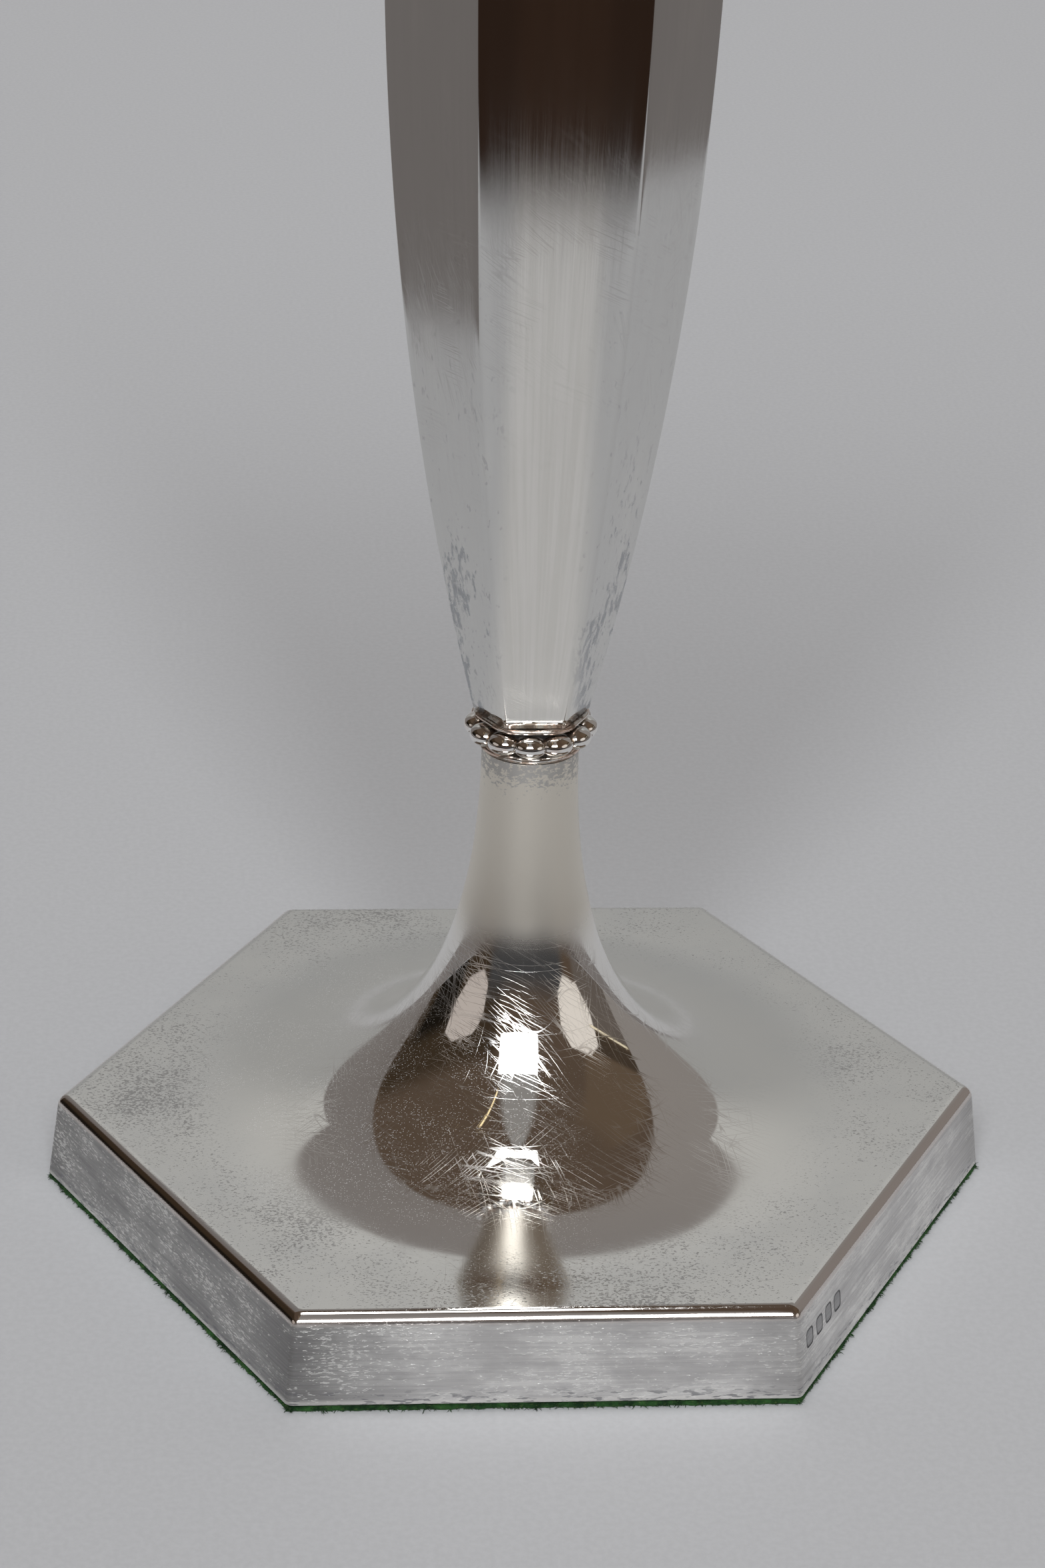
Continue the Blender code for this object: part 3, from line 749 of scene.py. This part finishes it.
def top_tarnish(g, here, x, y, z, reach, flat, top):
    """Thin tarnish on the flat top: dark dashes, densest to the left and the front, and a cloudy film."""
    cloud = g.noise(here, 42.0, 3.0, 0.6)
    lean = g.ramp(g.plus(g.times(x, -1.0), g.times(y, -0.35)), -0.06, 0.07, -0.05, 0.05)
    dense = g.plus(cloud, lean)
    fine = g.grain(here, (2000, 2900, 2000), 2.0, 0.6)
    blots = g.ramp(g.plus(fine, g.times(g.minus(dense, 0.5), 0.55)), 0.585, 0.66)
    speckle = g.times(blots, g.times(flat, g.ramp(reach, 44 * MM, 60 * MM)))
    speckle = g.times(speckle, g.ramp(z, top - 0.12 * MM, top - 0.02 * MM))
    film = g.times(g.ramp(g.noise(here, 95.0, 4.0, 0.65), 0.35, 0.7), flat)
    return speckle, film


def rim_wear(g, here, z, rim, bottom):
    """The rim's brushing along its length, dull patches, light nicks and dark gouges near the baize."""
    brush = g.grain(here, (50, 50, 2200), 4.0, 0.7)
    patch = g.grain(here, (70, 70, 170), 4.0, 0.62)
    nick = g.grain(here, (950, 950, 3600), 2.0, 0.6)
    nicks = g.times(g.ramp(g.plus(nick, g.times(g.minus(patch, 0.5), 0.6)), 0.60, 0.66), rim)
    gouge = g.grain(here, (430, 430, 2100), 2.0, 0.6, (4, 0, 0))
    gouges = g.times(g.ramp(gouge, 0.56, 0.62), g.ramp(z, bottom + 3.4 * MM, bottom + 1.0 * MM))
    return brush, patch, nicks, gouges


def flare_dust(g, here, x, z, reach, bottom):
    """Dust specks, thickest low on the flare's left."""
    cell = g.add("ShaderNodeTexVoronoi", feature="F1")
    g.plug(g.scaled(here, (1000, 1000, 1000)), cell.inputs["Vector"])
    dot = g.ramp(cell.outputs["Distance"], 0.27, 0.18)
    chosen = g.ramp(g.split(cell.outputs["Color"])[0], 0.68, 0.70)
    dusty = g.times(g.ramp(x, 22 * MM, -16 * MM), g.ramp(g.noise(here, 70.0, 2.0, 0.5), 0.36, 0.58))
    dust = g.times(g.times(dot, chosen), g.times(dusty, g.ramp(reach, 66 * MM, 46 * MM)))
    return g.times(dust, g.ramp(z, bottom + 40 * MM, bottom + 30 * MM))


def neck_tarnish(g, here, z, bottom):
    """Blue-grey dashes of tarnish at the top of the neck, closest together under the collar."""
    collar = g.ramp(z, bottom + 73 * MM, bottom + 79.5 * MM)
    dashes = g.grain(here, (1000, 1000, 1500), 4.0, 0.7)
    tarnish = g.ramp(g.plus(dashes, g.times(collar, 0.20)), 0.62, 0.68)
    return g.times(tarnish, g.ramp(z, bottom + 71 * MM, bottom + 77 * MM))


def foot_material():
    """Mirror on the flare, satin on the neck, a thin film on the flat top and a dull brushed rim with
    painted shade.
    """
    material, out, g = shader("silver_foot", SILVER, 0.05, 1.0)
    here = g.here()
    x, y, z = g.split(here)
    reach = g.math("SQRT", g.plus(g.times(x, x), g.times(y, y)))
    edge = g.mark("edge")
    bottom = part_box("foot_shell")[0].z
    top = bottom + RIM_HEIGHT

    # Where each finish lies
    neck = g.ramp(z, bottom + 44 * MM, bottom + 54 * MM)
    bend = g.times(g.ramp(z, top - 2.2 * MM, top - 1.5 * MM), g.ramp(z, top - 0.1 * MM, top - 0.4 * MM))
    rim = g.ramp(z, top - 1.1 * MM, top - 1.9 * MM)
    flat = g.times(g.ramp(reach, 40 * MM, 58 * MM), g.ramp(z, top - 1.0 * MM, top - 0.4 * MM))
    flare = g.times(g.ramp(z, top + 0.1 * MM, top + 3 * MM), g.minus(1.0, neck))

    speckle, film = top_tarnish(g, here, x, y, z, reach, flat, top)
    brush, patch, nicks, gouges = rim_wear(g, here, z, rim, bottom)
    brushed = g.ramp(brush, 0.41, 0.59)
    # Painted shade: the rim is painted darker towards -X, where it mirrors the darker room, and darker near
    # the corners of each side.
    shade = g.times(g.ramp(x, -40 * MM, -14 * MM, 0.62, 1.14), g.ramp(edge, 0.5, 11.0, 0.80, 1.0))
    worn_foot = g.ramp(z, bottom + 1.3 * MM, bottom + 0.5 * MM)
    marks, outline = punches(g, x, y, z, bottom)
    scratches = scratch_field(g, here, FLARE_SCRATCHES, 22, 1100, 0.014, 0.44)
    scratches = g.times(scratches, g.most(flare, g.times(flat, 0.3)))
    scratches = g.times(scratches, g.minus(1.0, bend))
    dust = flare_dust(g, here, x, z, reach, bottom)
    tarnish = neck_tarnish(g, here, z, bottom)

    dull = g.mix(g.ramp(patch, 0.38, 0.62), (0.58, 0.57, 0.56, 1), (0.78, 0.77, 0.75, 1))
    dull = g.mix(g.times(brushed, 0.45), dull, (0.44, 0.43, 0.43, 1))
    # The rim's dull colour is multiplied by the painted shade.
    dull = g.mix(1.0, dull, shade, "MULTIPLY")
    colour = g.mix(g.times(flat, 0.6), (*SILVER, 1), (0.90, 0.90, 0.89, 1))
    for mask, tone in (
        (g.times(film, 0.3), (0.78, 0.79, 0.80, 1)),
        (g.times(speckle, 0.55), (0.36, 0.36, 0.37, 1)),
        (rim, dull),
        (g.times(nicks, 0.65), (0.92, 0.91, 0.88, 1)),
        (g.times(worn_foot, 0.6), (0.90, 0.88, 0.84, 1)),
        (g.times(gouges, 0.7), (0.20, 0.20, 0.22, 1)),
        (g.times(marks, 0.6), (0.22, 0.22, 0.23, 1)),
        (g.times(outline, 0.92), (0.03, 0.03, 0.03, 1)),
        (g.times(neck, 0.9), (0.80, 0.755, 0.665, 1)),
        (g.times(bend, 0.8), (0.80, 0.735, 0.70, 1)),
        (g.times(tarnish, 0.5), (0.27, 0.29, 0.33, 1)),
        (dust, (0.85, 0.85, 0.85, 1)),
    ):
        colour = g.mix(mask, colour, tone)

    filmed = g.plus(g.ramp(film, 0.0, 1.0, 0.05, 0.11), g.ramp(y, -35 * MM, 25 * MM, 0.0, 0.09))
    rough = g.blend(flare, 0.12, g.ramp(y, -5 * MM, 5 * MM, 0.025, 0.18))
    for mask, value in (
        (flat, filmed),
        (speckle, 0.4),
        (neck, 0.35),
        (rim, g.ramp(brushed, 0.0, 1.0, 0.30, 0.42)),
        (scratches, 0.25),
        (tarnish, 0.5),
        (dust, 0.9),
    ):
        rough = g.blend(mask, rough, value)
    g.plug(g.minus(1.0, dust), out.inputs["Metallic"])

    height = g.times(scratches, -0.6)
    height = g.plus(height, g.times(g.times(brush, rim), 2.0))
    height = g.minus(height, g.times(g.plus(nicks, gouges), 1.5))
    height = g.minus(height, g.times(marks, 9.0))
    coat(g, out, colour, rough, height, 0.006 * MM)
    return material


def stem_material():
    """Lined satin facets with bright ridges, stained near the foot, with painted shade on the side facets,
    and more polished towards the top.
    """
    material, out, g = shader("silver_stem", SILVER, 0.16, 1.0)
    here = g.here()
    x, _, z = g.split(here)
    skin = g.skin()
    edge = g.mark("edge")
    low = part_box("stem_shell")[0].z
    rise = g.minus(z, low)

    lines = g.grain(skin, (4300, 4300, 55), 3.0, 0.6)
    wide_lines = g.grain(skin, (700, 700, 22), 3.0, 0.55)
    cloud = g.grain(here, (60, 60, 34), 3.0, 0.6)
    scratches = scratch_field(g, here, STEM_SCRATCHES, 70, 2300, 0.05, 0.50)
    scratches = g.times(scratches, g.ramp(rise, 110 * MM, 60 * MM))

    # Tarnish left in blue-grey patches near the foot of each facet, away from the front one
    near_foot = g.ramp(rise, 40 * MM, 3 * MM)
    ragged = g.grain(here, (800, 800, 330), 4.0, 0.70)
    broad = g.grain(here, (70, 70, 60), 2.0, 0.5, (3, 8, 1))
    stain = g.plus(g.times(ragged, 0.55), g.times(broad, 0.45))
    stain = g.plus(stain, g.times(near_foot, 0.13))
    side = g.ramp(g.size(x), 4.5 * MM, 8.5 * MM)
    stain = g.times(g.ramp(stain, 0.575, 0.65), g.times(g.ramp(rise, 75 * MM, 30 * MM), side))
    pits = g.grain(here, (900, 900, 420), 2.0, 0.6)
    pits = g.times(g.ramp(pits, 0.64, 0.70), g.ramp(rise, 120 * MM, 10 * MM))
    satin = g.times(g.ramp(edge, 0.4, 2.4), g.ramp(rise, 2.0 * MM, 6.5 * MM))

    colour = g.mix(g.ramp(wide_lines, 0.35, 0.65), (0.87, 0.85, 0.80, 1), (0.93, 0.91, 0.865, 1))
    colour = g.mix(g.times(g.ramp(cloud, 0.35, 0.7), 0.25), colour, (0.80, 0.775, 0.73, 1))
    # Painted shade: the side facets are painted greyer than the front and back ones, standing in for how the
    # light falls on them.
    side_painted_shade = g.times(side, g.ramp(cloud, 0.2, 0.5, 0.7, 1.0))
    colour = g.mix(g.times(side_painted_shade, 0.8), colour, (0.68, 0.68, 0.67, 1))
    colour = g.mix(g.times(stain, 0.70), colour, (0.34, 0.36, 0.39, 1))
    colour = g.mix(g.times(g.times(pits, side), 0.5), colour, (0.40, 0.40, 0.41, 1))

    rough = g.times(g.ramp(lines, 0.25, 0.75, 0.12, 0.20), g.ramp(rise, 60 * MM, 125 * MM, 1.0, 0.45))
    rough = g.blend(satin, 0.05, rough)
    rough = g.blend(stain, rough, 0.34)
    rough = g.blend(scratches, rough, 0.26)

    height = g.plus(g.times(lines, 0.9), g.times(scratches, -0.5))
    height = g.times(height, g.times(satin, g.ramp(rise, 60 * MM, 120 * MM, 1.0, 0.3)))
    coat(g, out, colour, rough, height, 0.004 * MM)
    return material


def bead_material():
    """Polished beads with brown grime between them and a faint copper blush."""
    material, out, g = shader("silver_beads", SILVER, 0.05, 1.0)
    here = g.here()
    crevice = g.mark("crevice")
    patch = g.noise(here, 420.0, 3.0, 0.6)
    grime = g.ramp(g.plus(crevice, g.times(g.minus(patch, 0.5), 0.9)), 0.55, 1.05)
    colour = g.mix(grime, (0.92, 0.905, 0.88, 1), (0.17, 0.115, 0.075, 1))
    blush = g.ramp(g.grain(here, (260, 260, 260), 2.0, 0.5, (5, 2, 0)), 0.56, 0.66)
    colour = g.mix(g.times(blush, 0.35), colour, (0.80, 0.58, 0.47, 1))
    height = g.times(g.noise(here, 1500.0, 2.0, 0.5), grime)
    coat(g, out, colour, g.blend(grime, 0.04, 0.38), height, 0.03 * MM)
    return material


def lip_material():
    """The thin lips and soldered wires: bright, with copper and brown where plating and dirt show."""
    material, out, g = shader("silver_lips", SILVER, 0.12, 1.0)
    here = g.here()
    patch = g.grain(here, (330, 330, 500), 3.0, 0.6)
    copper = g.ramp(patch, 0.42, 0.55)
    dirt = g.ramp(g.grain(here, (520, 520, 900), 3.0, 0.6, (2, 6, 1)), 0.50, 0.60)
    colour = g.mix(g.times(copper, 0.7), (0.86, 0.83, 0.78, 1), (0.70, 0.50, 0.40, 1))
    colour = g.mix(g.times(dirt, 0.8), colour, (0.16, 0.11, 0.07, 1))
    rough = g.blend(dirt, g.ramp(copper, 0, 1, 0.10, 0.24), 0.5)
    coat(g, out, colour, rough, patch, 0.02 * MM)
    return material


def upper_material():
    """Polished silver of the shoulder, sconce and nozzle, with fine hairlines and a faint cloud."""
    material, out, g = shader("silver_upper", SILVER, 0.08, 1.0)
    here = g.here()
    skin = g.skin()
    lines = g.grain(skin, (3200, 3200, 60), 2.0, 0.6)
    cloud = g.noise(here, 70.0, 3.0, 0.6)
    scratches = scratch_field(g, here, UPPER_SCRATCHES, 70, 2100, 0.05, 0.50)
    spots = g.ramp(g.grain(here, (700, 700, 500), 2.0, 0.6), 0.67, 0.72)
    colour = g.mix(g.times(g.ramp(cloud, 0.4, 0.7), 0.35), (0.92, 0.905, 0.875, 1), (0.80, 0.78, 0.74, 1))
    colour = g.mix(g.times(spots, 0.5), colour, (0.38, 0.37, 0.36, 1))
    rough = g.blend(scratches, g.ramp(lines, 0.3, 0.7, 0.06, 0.12), 0.24)
    height = g.plus(g.times(lines, 0.4), g.times(scratches, -0.5))
    coat(g, out, colour, rough, height, 0.004 * MM)
    return material


def inner_material(name, light, dark, roughness, metallic, size, depth):
    """The parts inside: a mottled finish of two tones with a fine grain."""
    material, out, g = shader(name, light, roughness, metallic)
    here = g.here()
    colour = g.mix(g.ramp(g.noise(here, size, 4.0, 0.6), 0.35, 0.65), (*light, 1), (*dark, 1))
    coat(g, out, colour, roughness, g.noise(here, size * 4, 3.0, 0.6), depth)
    return material


def baize_material():
    """Dark green felt with a paler nap."""
    material, out, g = shader("baize_green", (0.02, 0.09, 0.02), 0.95, 0.0)
    here = g.here()
    nap = g.noise(here, 2200.0, 3.0, 0.7)
    clump = g.noise(here, 420.0, 3.0, 0.6)
    colour = g.mix(g.ramp(clump, 0.35, 0.68), (0.004, 0.020, 0.006, 1), (0.022, 0.075, 0.018, 1))
    colour = g.mix(g.times(g.ramp(nap, 0.55, 0.75), 0.6), colour, (0.12, 0.15, 0.045, 1))
    g.plug(colour, out.inputs["Base Color"])
    out.inputs["Specular IOR Level"].default_value = 0.2
    out.inputs["Sheen Weight"].default_value = 0.15
    out.inputs["Sheen Roughness"].default_value = 0.5
    out.inputs["Sheen Tint"].default_value = (0.4, 0.75, 0.35, 1)
    height = g.plus(g.times(nap, 0.5), clump)
    g.plug(g.bump(height, 0.25 * MM, 0.8), out.inputs["Normal"])
    return material


# ---------------- build

rng = random.Random(7)
FOOT_SILVER, STEM_SILVER, BEAD_SILVER = foot_material(), stem_material(), bead_material()
LIP_SILVER, UPPER_SILVER, BAIZE = lip_material(), upper_material(), baize_material()

put("foot_silver", foot_mesh(), "stick", "foot_shell", FOOT_SILVER)
put("stem_silver", stem_mesh(), "stick", "stem_shell", STEM_SILVER)
put("shoulder_silver", shoulder_mesh(), "stick", "stem_shoulder", UPPER_SILVER)
put("sconce_silver", sconce_mesh(), "stick", "sconce_shell", UPPER_SILVER)
for where in ("lower", "upper"):
    node, name = where + "_bead_collar", where + "_beads"
    put(name, collar_mesh(name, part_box(node)[0].z), "stick", node, BEAD_SILVER)
    node, name = where + "_wire_ring", where + "_wire"
    mesh = torus_mesh(name, NECK_RADIUS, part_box(node)[0].z)
    put(name, mesh, "stick", node, LIP_SILVER)
for node in ("stem_foot_plate", "sconce_foot_plate"):
    low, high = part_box(node)
    mesh = plate_mesh(node + "_lip", low.z, high.z - low.z)
    put(node + "_lip", mesh, "stick", node, LIP_SILVER)
put("nozzle_tube", cup_mesh(), "nozzle", "nozzle_cup", UPPER_SILVER)
put("pan_silver", pan_mesh(), "nozzle", "drip_pan", UPPER_SILVER)
put("pan_wire", border_mesh(), "nozzle", "drip_pan_border", LIP_SILVER)
rim_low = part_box("nozzle_rim")[0].z
mesh = torus_mesh("nozzle_wire", (CUP_INNER + CUP_OUTER) / 2, rim_low)
put("nozzle_wire", mesh, "nozzle", "nozzle_rim", LIP_SILVER)

baize = put("baize", baize_mesh(), "stick", "baize_pad", BAIZE)
fuzz = put("baize_fuzz", fuzz_mesh(rng), "stick", None, BAIZE)

STEEL = inner_material("steel_turned", (0.45, 0.45, 0.46), (0.30, 0.29, 0.28), 0.38, 1.0, 220.0, 0.01 * MM)
PLASTER = inner_material("plaster_cast", (0.60, 0.56, 0.48), (0.46, 0.42, 0.35), 0.92, 0.0, 160.0, 0.05 * MM)
BOARD = inner_material("board_pressed", (0.36, 0.26, 0.17), (0.25, 0.17, 0.10), 0.85, 0.0, 300.0, 0.05 * MM)
CARRIED = {
    "tie_rod": STEEL, "lower_nut": STEEL, "upper_nut": STEEL, "lower_washer": STEEL, "upper_washer": STEEL,
    "foot_filling": PLASTER, "stem_filling": PLASTER, "base_board": BOARD, "sconce_sleeve": UPPER_SILVER,
}
for node, finish in CARRIED.items():
    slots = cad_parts[node].data.materials
    slots.clear()
    slots.append(finish)


# ---------------- camera

HEADING = radians(-4.566)
PITCH = radians(25.80)
ROLL = radians(1.80)
CAMERA_AT = Vector((-0.04467, -0.54600, 0.33911))
SENSOR = 36.0
LENS = 85.6

camera_data = bpy.data.cameras.new("camera")
camera = place("camera", camera_data)
forward = Vector((
    sin(-HEADING) * cos(PITCH),
    cos(HEADING) * cos(PITCH),
    -sin(PITCH),
))
level_right = forward.cross(Vector((0, 0, 1))).normalized()
level_up = level_right.cross(forward)
right = level_right * cos(ROLL) + level_up * sin(ROLL)
up = level_up * cos(ROLL) - level_right * sin(ROLL)
view = Matrix((right, up, -forward)).transposed().to_4x4()
view.translation = CAMERA_AT
camera.matrix_world = view
camera_data.sensor_width = SENSOR
camera_data.sensor_fit = "AUTO"
camera_data.lens = LENS
camera_data.clip_start = 0.01
scene.camera = camera

# ---------------- floor and light

FLOOR_RADIUS = 12.0
FLOOR_COLOUR = (0.54, 0.55, 0.565)
CARD_REACH = 6.0
PAPER_LEFT, PAPER_RIGHT, PAPER_FRONT = -310 * MM, 430 * MM, -420 * MM
SEEN_WORLD = (0.50, 0.51, 0.52)
WINDOW_LIGHT = (16.5, 16.7, 17.1)
OVERHEAD_LIGHT = (5.0, 5.0, 5.0)
LEFT_LIGHT, RIGHT_LIGHT = (0.46, 0.41, 0.38), (0.70, 0.65, 0.60)


def flat_card(name, height, colour, soft):
    """A flat stage card that only mirrors see: what lies round the sheet of paper."""
    mesh = bpy.data.meshes.new(name)
    corners = ((-1, -1), (1, -1), (1, 1), (-1, 1))
    mesh.from_pydata([(x * CARD_REACH, y * CARD_REACH, height) for x, y in corners], [], [(0, 1, 2, 3)])
    card = place(name, mesh)
    for ray in ("camera", "diffuse", "shadow", "transmission"):
        setattr(card, "visible_" + ray, False)
    material = bpy.data.materials.new(name)
    material.use_nodes = True
    tree = material.node_tree
    tree.nodes.clear()
    g = Nodes(tree)
    glow = g.add("ShaderNodeEmission")
    glow.inputs["Color"].default_value = (*colour, 1)
    clear = g.add("ShaderNodeBsdfTransparent")
    mixed = g.add("ShaderNodeMixShader")
    out = g.add("ShaderNodeOutputMaterial")
    g.plug(soft(g), mixed.inputs[0])
    tree.links.new(clear.outputs[0], mixed.inputs[1])
    tree.links.new(glow.outputs[0], mixed.inputs[2])
    tree.links.new(mixed.outputs[0], out.inputs["Surface"])
    mesh.materials.append(material)


def make_floor():
    """The sheet of pale paper the candlestick stands on: one plain colour with a faint grain."""
    mesh = bpy.data.meshes.new("floor")
    form = bmesh.new()
    bmesh.ops.create_circle(form, cap_ends=True, segments=96, radius=FLOOR_RADIUS)
    form.to_mesh(mesh)
    form.free()
    floor = place("floor", mesh)
    floor.location.z = -0.05 * MM
    material, out, g = shader("floor_paper", FLOOR_COLOUR, 0.75, 0.0)
    out.inputs["Specular IOR Level"].default_value = 0.25
    shade = g.ramp(g.noise(g.here(), 900.0, 3.0, 0.6), 0.3, 0.7, 0.97, 1.03)
    g.plug(g.mix(1.0, (*FLOOR_COLOUR, 1), shade, "MULTIPLY"), out.inputs["Base Color"])
    mesh.materials.append(material)


def make_surroundings():
    """What the silver mirrors beyond the paper: a mauve table round it and a dark room in front."""

    def beyond_paper(g):
        x = g.split(g.here())[0]
        left = g.ramp(x, PAPER_LEFT + 12 * MM, PAPER_LEFT - 12 * MM)
        right = g.ramp(x, PAPER_RIGHT - 20 * MM, PAPER_RIGHT + 20 * MM)
        return g.most(left, right)

    def beyond_front(g):
        y = g.split(g.here())[1]
        return g.ramp(y, PAPER_FRONT + 60 * MM, PAPER_FRONT - 60 * MM)

    flat_card("table_round", 0.3 * MM, (0.175, 0.160, 0.155), beyond_paper)
    flat_card("room_front", 0.6 * MM, (0.028, 0.016, 0.011), beyond_front)


def make_world():
    """The room round the table as the silver mirrors it, painted by direction in degrees."""
    world = bpy.data.worlds.new("studio")
    scene.world = world
    world.use_nodes = True
    tree = world.node_tree
    g = Nodes(tree)
    x, y, z = g.split(g.add("ShaderNodeTexCoord").outputs["Generated"])
    degrees = 180 / pi
    level = g.times(g.math("ARCSINE", z), degrees)
    back = g.times(g.math("ARCTAN2", x, y), degrees)
    front = g.times(g.math("ARCTAN2", g.times(x, -1.0), g.times(y, -1.0)), degrees)

    def within(value, middle, half, soft):
        off = g.size(g.minus(value, middle))
        return g.ramp(off, half - soft, half + soft, 1.0, 0.0)

    def octagon(middle_a, half_a, middle_e, half_e):
        """A softbox in azimuth and elevation with its corners cut off."""
        box = g.times(within(back, middle_a, half_a, 0.6), within(level, middle_e, half_e, 0.6))
        a = g.over(g.minus(back, middle_a), half_a)
        e = g.over(g.minus(level, middle_e), half_e)
        return g.times(box, g.ramp(g.plus(g.size(a), g.size(e)), 1.56, 1.44))

    colour = (0.085, 0.060, 0.043, 1)

    def painted(below, mask, paint):
        return g.mix(mask, below, (*paint, 1))

    # Ceiling, and the darker room to the left, right and front under it
    right_side = g.times(within(back, 92, 24, 4), within(level, 42, 22, 6))
    colour = painted(colour, right_side, (0.105, 0.074, 0.050))
    left_room = g.times(within(back, -100, 48, 5), g.ramp(level, 46, 34))
    colour = painted(colour, left_room, (0.038, 0.026, 0.016))
    left_dark = g.times(within(back, -76, 15, 4), g.ramp(level, 24, 15))
    colour = painted(colour, left_dark, (0.009, 0.007, 0.005))
    right_dark = g.times(within(back, 88, 22, 4), within(level, 24.5, 4.5, 1.5))
    colour = painted(colour, right_dark, (0.050, 0.036, 0.025))
    right_low = g.times(within(back, 88, 24, 4), g.ramp(level, 19.5, 17.5))
    colour = painted(colour, right_low, (0.11, 0.092, 0.08))
    front_low = g.times(within(front, 0, 52, 6), g.ramp(level, 20, 8))
    colour = painted(colour, front_low, (0.050, 0.050, 0.052))

    # The ceiling in front, lit from the window's head up to the overhead lamp
    front_high = g.times(within(front, 5, 20, 6), g.times(g.ramp(level, 47, 50), g.ramp(y, 0.02, -0.02)))
    colour = painted(colour, front_high, (0.24, 0.23, 0.22))

    # The mauve wall behind, domed at its top, with the sheet of paper in front of it
    a = g.math("POWER", g.size(g.over(g.minus(back, 8), 63)), 4.0)
    e = g.math("POWER", g.over(g.most(level, 0.0), 58.5), 4.0)
    wall = g.ramp(g.plus(a, e), 1.04, 0.96)
    wall_paint = g.mix(g.ramp(back, -50, 60), (0.170, 0.155, 0.148, 1), (0.235, 0.215, 0.202, 1))
    colour = g.mix(wall, colour, wall_paint)
    paper = g.times(within(back, 4, 33.5, 0.5), g.ramp(level, 41.6, 40.6))
    paper_paint = g.mix(g.ramp(level, 22, 38), (0.315, 0.315, 0.31, 1), (0.455, 0.45, 0.435, 1))
    colour = g.mix(paper, colour, paper_paint)

    # Lamps: two softboxes at the sides, one overhead, the bright window in front, two far tubes
    colour = painted(colour, octagon(-109.5, 19.5, 17, 11), LEFT_LIGHT)
    colour = painted(colour, octagon(119, 19, 19.5, 12.5), RIGHT_LIGHT)
    length = g.times(within(y, -0.32, 0.17, 0.02), g.ramp(z, 0.5, 0.6))
    tube = g.times(within(x, -0.262, 0.006, 0.003), length)
    colour = painted(colour, tube, (1.2, 0.95, 0.55))
    tube = g.times(within(back, 88, 16, 1), within(level, 19.0, 0.5, 0.25))
    colour = painted(colour, tube, (0.75, 0.66, 0.48))
    overhead = g.times(within(x, 0.0, 0.095, 0.004), within(y, 0.11, 0.14, 0.004))
    colour = painted(colour, g.times(overhead, g.ramp(z, 0.0, 0.1)), OVERHEAD_LIGHT)
    window = g.times(within(front, 6.5, 20.5, 0.8), within(level, 39.5, 8.5, 0.8))
    colour = painted(colour, window, WINDOW_LIGHT)

    seen = g.add("ShaderNodeLightPath").outputs["Is Camera Ray"]
    colour = painted(colour, seen, SEEN_WORLD)
    tree.links.new(colour, tree.nodes["Background"].inputs["Color"])


make_floor()
make_surroundings()
make_world()
scene.view_settings.view_transform = "Standard"
